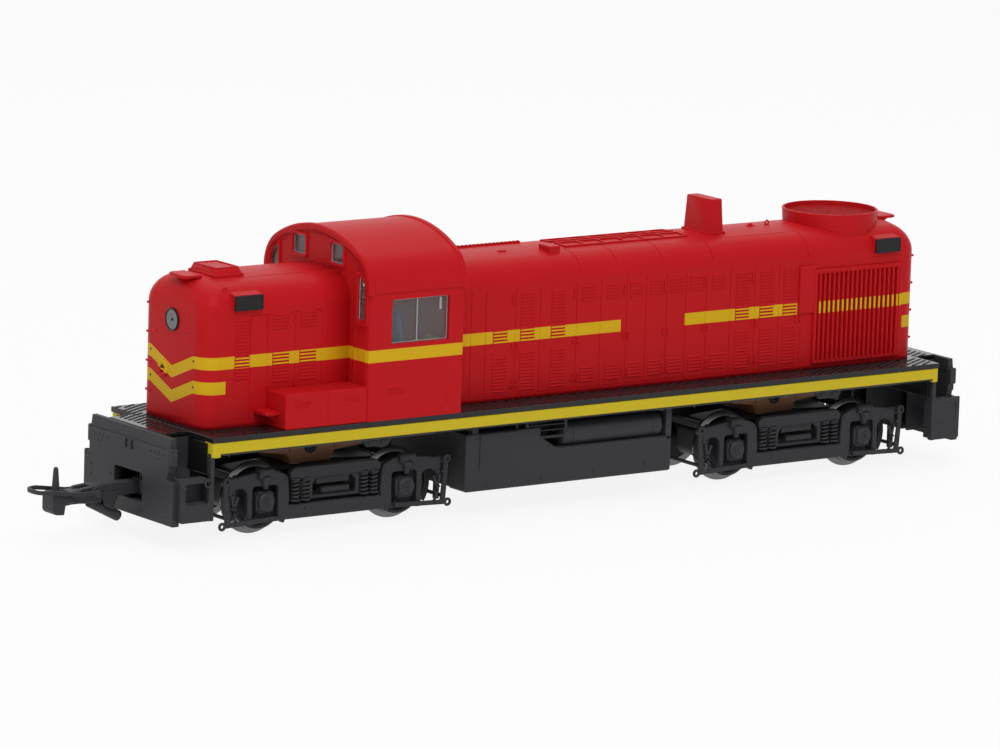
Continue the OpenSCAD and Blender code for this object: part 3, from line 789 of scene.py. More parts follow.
class LOCO_OT_cab(bpy.types.Operator):
    """Build the cab: roof with its rims, walls with framed windows, panes, door and seats"""

    bl_idname = "loco.cab"
    bl_label = "Cab"

    def execute(self, context):
        self.roof()
        self.sides()
        self.ends()
        self.inside()
        return {"FINISHED"}

    def roof(self):
        skin = arch_band(0.24, 1.0, EAVE, CAB_X1 + 0.3, CAB_X2 - 0.3, 0.05)
        rim = arch_band(0, 1.3, EAVE - 0.3, CAB_LOW[0], CAB_LOW[0] + 1.3, 0.28)
        bead = arch_band(1.55, 0.3, EAVE - 4, CAB_X1 - 0.2, CAB_X1 + 0.2, 0.1)
        new_piece("cab_roof_shell", joined(skin, both_walls(joined(rim, bead))), ("cab_roof",))

    def sides(self):
        low, high = SIDE_WINDOW
        x, y = CAB_X1, -CAB_SIDE
        hole = rectangle(low, high, 0.35)
        wall = plate([rectangle((x + 0.45, DECK_TOP), (CAB_X2 - 0.45, EAVE + 0.5)), hole], y, y + 1.1, 0.05)
        corner = [(x - 0.03, -15.6), (x - 0.03, -16.5), (x + 0.16, -16.8), (x + 0.5, y + 0.04),
                  (x + 1.3, y + 0.04), (x + 1.3, -15.6)]
        post = plate([corner], DECK_TOP + 0.02, EAVE + 0.45, 0.03, "xy")
        back = (post[0] * [-1, 1, 1] + [2 * CAB_MID, 0, 0], post[1])
        starts = np.array([(x + 4.6, y, z) for z in (25.2, 25.9)])
        lines = strips(starts, starts + [3.2, 0, 0], [(-0.1, -0.1), (0.14, -0.06), (0.14, 0.1), (-0.1, 0.14)])
        studs = knobs(domed(0.14, 0.16, 0.12, 0.22),
                      [(CAB_X2 - 3.4, y, 24.4), (CAB_X2 - 4.4, y, 21.6), (x + 12.5, y, 22.0)])
        both = mirrored(joined(wall, post, back, lines, studs))
        new_piece("cab_side_walls", both, ("cab_side_left", "cab_side_right"))

        inner = rectangle(np.array(low) + 0.22, np.array(high) - 0.22, 0.3)
        rim = plate([hole, inner], y + 0.62, y + 0.95, 0.06)
        middle = (low[0] + high[0]) / 2 - 0.4
        post = blocks((middle - 0.13, y + 0.64, low[1]), (middle + 0.13, y + 0.93, high[1]), 0.05)
        catch = blocks((high[0] - 1.9, y + 0.5, high[1] - 2.6), (high[0] - 1.4, y + 0.85, high[1] - 0.2), 0.1)
        new_piece("side_window_trim", mirrored(joined(rim, post, catch)), slot="motor_metal")

    def ends(self):
        x = CAB_X1
        wall = plate([arch(0.72, DECK_TOP)] + [rounded(w, 0.4) for w in END_WINDOWS], x, x + 0.9, 0.05, "yz")
        frames, trims, panes = [], [], []
        for window in END_WINDOWS:
            middle, span = window.mean(0), np.ptp(window, axis=0)
            wide = 1.0 if window is DOOR_WINDOW else 0.62
            outer = middle + (window - middle) * (1 + 2 * wide / span)
            inner = middle + (window - middle) * (1 - 0.36 / span)
            rim = rounded(window, 0.4)
            frames.append(plate([rounded(outer, 0.8), rim], x - 0.36, x + 0.3, 0.14, "yz"))
            trims.append(plate([rim, rounded(inner, 0.35)], x + 0.02, x + 0.42, 0.06, "yz"))
            panes.append(plate([rim], x + 0.3, x + 0.62, 0.04, "yz"))
        trims.append(blocks((x + 0.02, -15.5, 42.6), (x + 0.36, -13.3, 42.85), 0.05))
        door = np.array([(-16.1, DECK_TOP), (-16.1, 45.2), (-14.9, 47.4), (-12.3, 48.4), (-12.3, DECK_TOP)])
        inner = door + [(0.3, 0), (0.3, 0), (0.15, -0.3), (-0.3, -0.3), (-0.3, 0)]
        seam = plate([np.concatenate([door, inner[::-1]])], x - 0.16, x + 0.1, 0.06, "yz")
        knob = turned([(0, 0.5), (0.22, 0.46), (0.28, 0.3), (0.14, 0.2), (0.14, -0.2), (0, -0.2)],
                      (x, -12.75, 33.5), (-1, 0, 0), 12)
        new_piece("cab_end_walls", both_walls(joined(wall, seam, knob, *frames)),
                  ("cab_front_wall", "cab_rear_wall"))
        new_piece("end_window_trim", both_walls(joined(*trims)), slot="motor_metal")
        low, high = SIDE_WINDOW
        side = mirrored(blocks((low[0], -CAB_SIDE + 0.72, low[1]), (high[0], -CAB_SIDE + 1.0, high[1]), 0.04))
        new_piece("cab_panes", joined(both_walls(joined(*panes)), side), ("cab_glazing",), "clear_panes")

    def inside(self):
        low = box_mm("cab_seats")[0]
        x, z = low[0] + 1.5, low[2] + 2.2
        chair = rounded([(x + 1.0, z + 5.4), (x + 5.2, z + 5.2), (x + 5.4, z + 6.6), (x + 2.2, z + 6.9),
                         (x + 1.1, z + 10.5), (x + 0.6, z + 16.2), (x - 0.3, z + 16.4), (x - 0.1, z + 10.5)],
                        0.6)
        seat = plate([chair], -13.6, -9.4, 0.4)
        foot = turned([(0, 0), (1.5, 0), (1.5, 0.4), (0.7, 0.7), (0.6, 5.6), (0, 5.6)], (x + 3, -11.5, z),
                      count=16)
        new_piece("seats", mirrored(joined(seat, foot)), ("cab_seats",), "seat_blue")
        refined("control_stand", "cab_grey", 0.25)


# ---------------------------------------------------------------- roof and nose


def tapered(low, high, draw, edge=0.12):
    """A box whose top face is drawn in by draw along x and y, evenly with height."""
    low, high, draw = (np.asarray(v, float) for v in (low, high, draw))

    def draw_in(points):
        middle, half = (low + high)[:2] / 2, (high - low)[:2] / 2
        share = ((points[:, 2] - low[2]) / (high[2] - low[2]))[:, None]
        return np.column_stack([middle + (points[:, :2] - middle) * (1 - share * draw / half), points[:, 2]])
    return moved(blocks(low, high, edge), draw_in)


class LOCO_OT_roof(bpy.types.Operator):
    """Build the roof pieces: walk frames, exhaust stack, fan ring and grille, lugs and cleats"""

    bl_idname = "loco.roof"
    bl_label = "Roof pieces"

    def execute(self, context):
        self.walk_frames()
        self.stack()
        self.fan()
        lugs = [hoop(0.42, 0.15, place, 14) for place in ((52.8, -0.2, 47.2), (-24.5, 0, 47.1))]
        lugs += [blocks(low, high, edge) for low, high, edge in (
            ((48.2, -0.5, 46.5), (49.8, 0.5, 47.0), 0.15), ((48.6, -0.3, 46.9), (49.3, 0.3, 47.3), 0.1),
            ((-12.0, -3.4, 46.3), (-10.3, -2.6, 46.9), 0.15))]
        lugs.append(tapered((-2.9, -6.7, 44.2), (-0.3, -2.8, 47.5), (0.1, 0.1), 0.16))
        x = np.arange(-17.4, -2.6, 0.9)
        low = np.stack([x, np.full(len(x), 3.2), np.full(len(x), 46.2)], -1)
        teeth = blocks(low, low + [0.5, 0.8, 0.9], 0.08)
        strip = blocks((-17.7, 3.1, 46.1), (-2.4, 4.1, 46.75), 0.1)
        new_piece("roof_fittings", joined(teeth, strip, *lugs))
        return {"FINISHED"}

    def walk_frames(self):
        """Two ladder frames laid on the hood's curve beside its middle."""
        low, high = box_mm("roof_hatch_frames")
        x0, x1, y0, y1, count = low[0], high[0], 0.6, 4.0, 7
        start = np.stack([np.linspace(x0, x1 - 0.4, count), np.full(count, y0), np.full(count, -0.2)], -1)
        bars = blocks(start, start + [0.4, y1 - y0, 0.5], 0.08)
        rails = blocks([(x0, y0, -0.2), (x0, y1 - 0.4, -0.2)], [(x1, y0 + 0.4, 0.3), (x1, y1, 0.3)], 0.08)
        new_piece("walk_frames", mirrored(on_hood(joined(bars, rails))), ("roof_hatch_frames",))

    def stack(self):
        low, high = box_mm("exhaust_stack")
        x, top = (low[0] + high[0]) / 2, high[2]
        foot = blocks((x - 2.2, -4.1, HOOD_TOP - 1.2), (x + 2.2, 4.1, HOOD_TOP + 0.25), 0.14)
        pipe = tapered((x - 1.95, -3.8, HOOD_TOP - 0.9), (x + 1.95, 3.8, top), (0.65, 0.0), 0.16)
        new_piece("exhaust_stack_shell", joined(foot, pipe), ("exhaust_stack",))

    def fan(self):
        """The fan's ring, the square mesh across it, and the blades under the mesh.

        A wire's half length is sqrt(reach^2 - offset^2), so that the mesh fills a circle. A blade
        is a sheet of r and side whose angle and height both grow with side.
        """
        low, high = box_mm("fan_ring")
        x, r, top = (low[0] + high[0]) / 2 + 0.27, (high[0] - low[0]) / 2 + 0.27, high[2]
        ring = turned([(r - 0.25, 43.8), (r - 0.25, 46.2), (r - 0.08, top - 0.25), (r - 0.08, top - 0.1),
                       (r - 0.18, top), (r - 0.42, top), (r - 0.52, top - 0.1), (r - 0.7, 46.0),
                       (r - 0.7, 43.8)], (x, 0, 0), count=96)
        new_piece("fan_ring_shell", ring, ("fan_ring",), crease=40)
        reach, pitch, level, count = r - 0.55, 0.8, top - 0.8, 9
        offset = np.arange(-int(reach / pitch), int(reach / pitch) + 1) * pitch
        half, flat = np.sqrt(reach ** 2 - offset ** 2), np.full(len(offset), level)
        wire = [(-0.09, -0.5), (0.09, -0.5), (0.09, 0.06), (-0.09, 0.06)]
        along = strips(*[np.stack([x + end * half, offset, flat], -1) for end in (-1, 1)], wire)
        across = strips(*[np.stack([x + offset, end * half, flat - 0.08], -1) for end in (-1, 1)], wire)
        new_piece("fan_grille_mesh", joined(along, across), ("fan_grille",))
        angle = np.linspace(0, 2 * np.pi, count, endpoint=False)[:, None, None]
        run = np.linspace(1.2, reach - 0.5, 6)[None, :, None]
        side = np.linspace(-0.5, 0.5, 4)[None, None, :]
        spread = angle + side * 0.42
        blade = np.stack([x + run * np.cos(spread), run * np.sin(spread),
                          level - 1.3 + side * 0.8 + 0 * (run + spread)], -1)
        back = blade - [0, 0, 0.16]
        loops = np.concatenate([blade, back[:, :, ::-1]], 2)
        blades = joined(*[sheet(loop, wrap=True, caps=(0, -1)) for loop in loops])
        hub = turned([(0, -0.5), (1.3, -0.6), (1.5, -0.9), (1.5, -2.4), (0, -2.4)], (x, 0, level), count=24)
        disc = turned([(0, -2.3), (reach, -2.3), (reach, -2.6), (0, -2.6)], (x, 0, level), count=48)
        new_piece("fan_blades", joined(blades, hub, disc))


class LOCO_OT_nose(bpy.types.Operator):
    """Build the pieces on the two hood ends: hatch, visors, lamps, number boards, rungs, bosses"""

    bl_idname = "loco.nose"
    bl_label = "Nose pieces"

    def execute(self, context):
        self.hatch()
        self.visors()
        self.boards()
        self.lamps()
        self.rungs()
        self.battery_boxes()
        return {"FINISHED"}

    def hatch(self):
        (x0, y0, _), (x1, y1, top) = box_mm("hood_hatch")
        base = blocks((x0, y0, top - 3.2), (x1, y1, top - 1.15), 0.16)
        lid = tapered((x0 + 0.25, y0 + 0.25, top - 1.3), (x1 - 0.25, y1 - 0.25, top - 0.16), (0.45, 0.45),
                      0.14)
        rim = rectangle((x0 + 0.7, y0 + 0.7), (x1 - 0.7, y1 - 0.7), 0.25)
        hole = rectangle((x0 + 1.1, y0 + 1.1), (x1 - 1.1, y1 - 1.1), 0.2)
        new_piece("nose_hatch_shell", joined(base, lid, plate([rim, hole], top - 0.3, top, 0.08, "xy")),
                  ("hood_hatch",))

    def visors(self):
        """A flat peak over the lamp at each end, on a foot of its own."""
        top = HOOD_TOP + 0.3
        parts = []
        for x0, x1, way in ((NOSE_X + 0.45, NOSE_X + 4.2, 1), (TAIL_X + 0.25, TAIL_X - 4.2, -1)):
            peak = rounded([(x0, -3.0), (x1, -3.0), (x1, 3.0), (x0, 3.0)], [1.3, 0.4, 0.4, 1.3])
            foot = [(x0 + way * 0.9, top - 0.45), (x1, top - 0.45), (x1, top - 2.3),
                    (x1 - way * 0.8, top - 2.3)]
            parts += [plate([peak], top - 0.55, top, 0.14, "xy"), plate([foot], -1.9, 1.9, 0.1)]
        new_piece("lamp_visors_shell", joined(*parts), ("lamp_visors",))

    def boards(self):
        """Blank number boards on their cases, with a lifting ring ahead of each one."""
        low, high = box_mm("number_boards")
        z0, z1, y = low[2], low[2] + 2.7, high[1]
        plates, cases = [], []
        for x in (low[0] + 3, high[0] - 3):
            rim = rectangle((x - 3, z0), (x + 3, z1), 0.2)
            hole = rectangle((x - 2.75, z0 + 0.25), (x + 2.75, z1 - 0.25), 0.15)
            plates += [plate([rim, hole], -y, -y + 0.3, 0.05), plate([rim], -y + 0.12, -y + 0.4, 0.04)]
            case = [(-y + 0.38, z0 + 0.15), (-y + 0.38, z1 + 0.1), (-9.0, z1 + 0.5), (-9.0, z0 + 0.1)]
            cases += [plate([case], x - 2.95, x + 2.95, 0.12, "yz"),
                      hoop(0.4, 0.13, (x - 3.6, -8.7, z1 + 0.9))]
        new_piece("number_plates", mirrored(joined(*plates)), ("number_boards",), "board_black")
        new_piece("number_board_cases", mirrored(joined(*cases)))

    def lamps(self):
        low, high = box_mm("headlights")
        z, r = (low[2] + high[2]) / 2, high[1]
        rim = [(r - 0.24, -0.4), (r - 0.24, 0.3), (r - 0.14, 0.36), (r, 0.3), (r + 0.05, -0.4)]
        lens = [(0, 0.08), (0.5, 0.06), (0.58, 0.14), (0.9, 0.16), (0.98, 0.1), (1.5, 0.18), (r - 0.3, 0.2),
                (r - 0.22, 0.1), (r - 0.22, -0.3), (0, -0.3)]
        for name, profile, count, node, slot in (
                ("lamp_rims", rim, 40, (), "board_black"),
                ("lamp_lenses", lens, 40, ("headlights",), "lamp_lens"),
                ("lamp_centres", domed(0.32, 0.16, 0.3, 0.24, 0.2, 0.0), 16, (), "board_black")):
            both = [turned(profile, (end, 0, z), (way, 0, 0), count)
                    for end, way in ((NOSE_X, -1), (TAIL_X, 1))]
            new_piece(name, joined(*both), node, slot)
        self.bosses()

    def bosses(self):
        """Each hood end's round boss with its hook, its studs, and the holes for lamps and rungs, drawn as
        dark discs: painted shade in the holes.
        """
        x, ahead = NOSE_X, (-1, 0, 0)
        boss = turned([(0.75, -0.3), (0.75, 0.34), (0.9, 0.42), (1.35, 0.42), (1.55, 0.28), (1.6, -0.3)],
                      (x, 2.7, 29.6), ahead, 32)
        hook = blocks((x - 0.45, 2.1, 29.2), (x + 0.1, 3.3, 29.6), 0.12)
        places = [(x, y, z) for y, z in ((-5.4, 40.6), (-5.4, 35.9), (5.4, 40.6), (5.4, 35.9), (-4.6, 37.2))]
        studs = knobs(domed(0.16, 0.16, 0.13, 0.24), places, ahead)
        new_piece("end_bosses", joined(both_hoods(boss), both_hoods(hook), both_hoods(studs)))
        # flat board-black discs on the surface: painted shade, standing for the dark inside of each hole
        holes = [((x, y, z), r) for y, z, r in ((2.7, 29.6, 0.76), (-7.0, 32.4, 0.24), (-7.0, 27.7, 0.24),
                                                (7.0, 32.4, 0.24), (7.0, 27.7, 0.24))]
        hole = joined(*[turned([(0, 0.03), (r, 0.02), (r, -0.2), (0, -0.2)], place, ahead, 14)
                        for place, r in holes])
        new_piece("end_hole_shades", both_hoods(hole), slot="board_black")

    def rungs(self):
        def ladder(x, foot, reach=0.2, count=4):
            path = rounded([(x - 2.6, -6.2), (x - reach, -6.2), (x - reach, -8.9), (x - 3.2, -8.9)],
                           0.5, 4)[4:-4]
            path = np.column_stack([path, np.zeros(len(path))])
            path = np.concatenate([[(x - 2.6, -6.2, 0)], path, [(x - 3.4, -8.9, 0)]])
            return joined(*[shifted(carried(path, circle(reach, 8)), z=foot + 5.3 * i) for i in range(count)])

        front, rear = ladder(0.1 - NOSE_X, DECK_TOP + 4.5), ladder(TAIL_X + 0.25, DECK_TOP + 3.9)
        new_piece("corner_rungs", joined(rear, turned_round(front)), ("end_rungs",))

    def battery_boxes(self):
        """Two boxes side by side with louvres near their tops, and a shelf ahead of them."""
        low, high = box_mm("battery_box_left")
        x0, x1, y0, z0, z1 = CAB_X1 - 17.6, CAB_X1, low[1], DECK_TOP, high[2]
        middle, inner = x0 + 9.2, -HOOD_HALF + 0.1
        box = joined(blocks((x0, y0, z0), (middle - 0.07, inner, z1), 0.2),
                     blocks((middle + 0.07, y0, z0), (x1, inner, z1), 0.2),
                     blocks((x0 + 0.3, y0 + 0.12, z0), (x1 - 0.3, -HOOD_HALF, z1 - 0.12), 0.05))
        starts = np.array([(x0 + 2.0, y0, z1 - 1.6), (x0 + 1.8, y0, z1 - 2.3), (x1 - 5.0, y0, z1 - 1.3),
                           (x1 - 5.2, y0, z1 - 2.0)])
        wedge = [(-0.1, -0.06), (0.16, -0.04), (0.18, 0.06), (0.0, 0.2), (-0.1, 0.2)]
        shelf = rounded([(x0 - 2.8, y0 + 2.2), (x0 + 0.2, y0 + 2.2), (x0 + 0.2, inner), (x0 - 2.8, inner)],
                        [0.5, 0.05, 0.05, 0.05])
        gusset = [(x0 - 1.9, z0 + 2.5), (x0 + 0.1, z0 + 2.5), (x0 + 0.1, z0 + 0.9)]
        part = joined(box, strips(starts, starts + [3.4, 0, 0], wedge),
                      plate([shelf], z0 + 2.4, z0 + 3.1, 0.12, "xy"),
                      plate([gusset], y0 + 3.2, y0 + 4.4, 0.08))
        new_piece("battery_boxes", mirrored(part), ("battery_box_left", "battery_box_right"))
        # flat board-black discs on the boxes' tops: painted shade, standing for the dark inside of the holes
        holes = knobs([(0, 0.02), (0.28, 0.02), (0.28, -0.2), (0, -0.2)],
                      [(x0 + 2.2, y0 + 0.9, z1), (x1 - 5.6, y0 + 0.9, z1)], (0, 0, 1), 14)
        new_piece("battery_box_hole_shades", mirrored(holes), slot="board_black")


# ---------------------------------------------------------------- deck and ends


PLATE_X = box_mm("end_plate_rear")[1][0]
PLATE_FACE = PLATE_X - 0.9
PLATFORM = DECK_TOP - 0.06
TONGUE = 8.8


def tread(low, high, pitch=1.25, run=14.0, gap=0.6, slope=math.radians(30)):
    """Raised bars of a walkway: slanting rows of short bars, cut off at a rectangle's sides.

    A bar's middle is row * pitch across the slope plus place * (run + gap) along it, and its
    ends are where the bar's line leaves the rectangle.
    """
    low, high = np.asarray(low, float), np.asarray(high, float)
    along = np.array([math.cos(slope), math.sin(slope)])
    across = np.array([-math.sin(slope), math.cos(slope)])
    reach = np.linalg.norm(high - low) / 2 + run
    rows = np.arange(-int(reach / pitch), int(reach / pitch) + 1)
    places = np.arange(-int(reach / (run + gap)) - 1, int(reach / (run + gap)) + 2)
    row, place = (a.ravel() for a in np.meshgrid(rows, places, indexing="ij"))
    shift = (row % 2) * (run + gap) / 2
    middle = (low + high) / 2 + row[:, None] * pitch * across
    start = place * (run + gap) + shift - run / 2
    edges = np.stack([(low - middle) / along, (high - middle) / along])
    first, last = edges.min(0).max(1), edges.max(0).min(1)
    start, end = np.maximum(start, first), np.minimum(start + run, last)
    keep = end - start > 0.7
    level = np.zeros((int(keep.sum()), 1))
    one = np.hstack([(middle + start[:, None] * along)[keep], level])
    two = np.hstack([(middle + end[:, None] * along)[keep], level])
    return strips(one, two, [(-0.29, -0.03), (-0.22, 0.08), (0.22, 0.08), (0.29, -0.03)])


class LOCO_OT_deck(bpy.types.Operator):
    """Build the walkway with its raised tread and coloured side sills"""

    bl_idname = "loco.deck"
    bl_label = "Walkway"

    def execute(self, context):
        end, side, top = DECK_HIGH
        bottom = DECK_LOW[2]
        slab = blocks((-end, -side, top - 1.0), (end, side, top), 0.1)
        under = blocks((-end + 0.3, -side + 0.5, top - 1.5), (end - 0.3, side - 0.5, top - 0.9), 0.05)
        lip = blocks((-end + 0.9, -side + 0.12, bottom - 0.35), (end - 0.9, -side + 1.3, bottom + 0.1), 0.08)
        tongue = blocks((end - 0.3, -TONGUE, PLATFORM - 0.9), (PLATE_FACE - 1.1, TONGUE, PLATFORM), 0.06)
        deck = joined(slab, under, mirrored(lip), both_ends(tongue))
        new_piece("walkway", deck, ("walkway_deck",), "sill_deck")

        sill = blocks((-end + 0.9, -side, bottom), (end - 0.9, -side + 1.2, top - 1.0), 0.12)
        corner = rounded([(end - 1.6, -side - 0.02), (end - 0.1, -side - 0.02), (end - 0.1, -side + 2.9),
                          (end - 0.7, -side + 2.9), (end - 0.7, -side + 1.1), (end - 1.6, -side + 1.1)],
                         [0.02, 0.8, 0.08, 0.08, 0.08, 0.08])
        corner = plate([corner], bottom - 0.6, top - 0.97, 0.04, "xy")
        sills = mirrored(joined(sill, mirrored(corner, 0)))
        new_piece("side_sills", sills, slot="sill_deck", material=finish_of("sill_yellow"))

        walk, inner, ledge = side - 0.4, HOOD_HALF + 0.25, PLATE_FACE - 2.7
        areas = [((x0, y0), (x1, y1))
                 for x0, x1 in ((CAB_X2 + 0.3, TAIL_X + 0.2), (NOSE_X - 0.2, CAB_X1 - 20.6))
                 for y0, y1 in ((-walk, -inner), (inner, walk))]
        areas += [((TAIL_X + 0.3, -walk), (end - 0.2, walk)), ((-end + 0.2, -walk), (NOSE_X - 0.3, walk))]
        bars = [shifted(tread(low, high), z=top) for low, high in areas]
        areas = [((end + 0.15, -TONGUE), (ledge, TONGUE)), ((-ledge, -TONGUE), (-end - 0.15, TONGUE))]
        bars += [shifted(tread(low, high), z=PLATFORM) for low, high in areas]
        new_piece("walkway_tread", joined(*bars), slot="sill_deck", material=finish_of("tread_black"))
        refined("centre_frame", "frame_black", 0.12)
        return {"FINISHED"}


class LOCO_OT_ends(bpy.types.Operator):
    """Build the end plates with their rivets, and the steps on the four corners"""

    bl_idname = "loco.ends"
    bl_label = "End plates and steps"

    def execute(self, context):
        self.plates()
        self.rivets()
        self.steps()
        return {"FINISHED"}

    def plates(self):
        """Each end plate with its coupler pocket, and the walls under the tongue behind it."""
        face, z, wide, back = PLATE_FACE, box_mm("end_plate_rear")[0][2], 13.2, DECK_HIGH[0]
        foot = wide + 1.6
        half = np.array([(foot, z), (foot, 12.4), (wide - 0.5, 12.6), (wide - 0.4, 13.6), (wide, 14.0),
                         (wide, 18.0)])
        rim = rounded(np.concatenate([half, half[::-1] * [-1, 1]]), 0.15)
        front = plate([rim, rectangle((-4.6, 7.2), (4.6, 12.4), 0.3)], face - 1.2, face + 0.3, 0.1, "yz")
        top = rounded([(face - 1.3, 17.6), (face + 0.05, 17.6), (face - 0.25, 20.1), (face - 1.3, 20.1)],
                      0.15)
        walls = mirrored(blocks((back - 0.6, -TONGUE, z + 1.4),
                                (face - 1.1, -TONGUE + 0.7, PLATFORM - 0.5), 0.06))
        new_piece("end_plates", both_ends(joined(front, plate([top], -wide, wide, 0.1), walls)),
                  ("end_plate_front", "end_plate_rear"), "frame_black")
        x0, x1 = back + 0.6, face - 1.3
        # the pocket's walls and the strip under the deck's end take board black, darker than the plate's
        # frame black: painted shade in these recesses
        pocket = joined(blocks((back - 1.2, -15.2, 13.4), (back - 0.05, 15.2, DECK_TOP - 1.2), 0.08),
                        blocks((back + 0.3, -5.3, 5.6), (back + 0.7, 5.3, 13.0), 0.05),
                        blocks([(x0, -5.4, 12.7), (x0, -5.4, 5.4)], [(x1, 5.4, 13.1), (x1, 5.4, 5.8)], 0.05),
                        mirrored(blocks((x0, -5.4, 5.7), (x1, -5.0, 12.8), 0.05)))
        new_piece("end_pockets", both_ends(pocket), slot="board_black")

    def rivets(self):
        """Rivets and bolts on the end plates; a place is (across, height, radius)."""
        face, ends = PLATE_FACE, (-1, 1)
        edge = [(s * 12.5, z, 0.2) for s in ends for z in (5.8, 7.6, 9.4, 11.2)]
        edge += [(5.9, 10.6, 0.28), (8.4, 11.4, 0.28), (-5.9, 10.6, 0.28)]
        rows = [(s * (7.1 + 1.42 * i), 17.0, 0.27) for s in ends for i in range(4)]
        rows += [(s * (9.3 + 0.9 * i), 15.95, 0.2) for s in ends for i in range(2)]
        bolts = [(y, z, 0.4) for y in (-0.95, 0.95) for z in (16.6, 17.5)]

        def heads(places, top, cap, slope, rim, root, out, count=10):
            return [turned(domed(top, cap * r, slope, r, rim, root), (face + out, y, z), (1, 0, 0), count)
                    for y, z, r in places]

        ears = mirrored(plate([rectangle((face - 1.2, 15.2), (face + 0.2, 18.3), 0.3)], -13.9, -13.1, 0.1))
        studs = heads(edge, 0.16, 0.6, 0.14, 0.04, 0.3, 0.3)
        new_piece("end_plate_fittings", both_ends(joined(*studs, ears)), slot="frame_black")
        dots = heads(rows, 0.1, 0.7, 0.08, 0.02, 0.3, 0.3)
        nuts = heads(bolts, 0.42, 0.8, 0.4, 0.3, 0.2, 0.2, 6)
        new_piece("end_plate_rivets", both_ends(joined(*dots, *nuts)), slot="board_black")

    def steps(self):
        """The steps at the four corners: open sides at the front, closed ones at the rear."""
        low, high = box_mm("steps_rear")
        x0, x1, y, z = low[0], PLATE_X - 0.9, high[1] - 0.5, low[2]
        outline = rounded([(x0 + 0.6, z), (x1 - 0.6, z), (x1 - 0.6, z + 8.1), (x0 + 0.6, z + 7.6)], 0.3)
        window = rectangle((x0 + 1.1, z + 3.2), (x1 - 1.5, z + 7.0), 0.3)
        side = plate([outline, window], -y, -y + 0.6, 0.1)
        shelves = blocks([(x0 + 0.7, -y + 0.3, z + up) for up in (0.05, 7.1, 2.7)],
                         [(x1 - 0.7, -13.0, z + up) for up in (0.75, 7.6, 3.3)], 0.08)
        ends = blocks([(x0 + 0.65, -y + 0.35, z + 0.1), (x1 - 1.3, -y + 0.35, z + 0.1)],
                      [(x0 + 1.15, -13.1, z + 7.5), (x1 - 0.65, -13.1, z + 7.9)], 0.06)
        back = blocks((x0 + 0.7, -13.6, z + 0.2), (x1 - 0.7, -13.05, z + 7.5), 0.06)
        post = blocks((x0, -y - 0.05, z - 0.05), (x0 + 0.85, -y + 1.1, DECK_LOW[2] + 0.1), 0.12)
        eye = hoop(0.66, 0.2, (x0 + 1.35, -y - 0.1, z + 6.9), 18, 8)
        stud = turned(domed(0.22, 0.3, 0.2, 0.42, root=0.3), (x1 - 1.2, -y, z + 6.3), (0, -1, 0), 12)
        low_tread = shifted(tread((x0 + 1.0, -y + 0.6), (x1 - 1.0, -13.8)), z=z + 3.3)
        mid_tread = shifted(tread((x0 + 1.0, -y + 0.4), (x1 - 1.0, -13.4)), z=z + 7.6)
        cover = plate([rectangle((x0 + 0.7, z + 0.6), (x1 - 0.9, z + 7.4), 0.3)], -y + 0.12, -y + 0.5, 0.05)
        part = joined(low_tread, mid_tread, shelves, ends, back, post)
        front, rear = mirrored(joined(part, side, eye, stud)), mirrored(joined(part, side, cover, stud))
        new_piece("corner_steps", joined(rear, turned_round(front)), ("steps_front", "steps_rear"),
                  "frame_black")


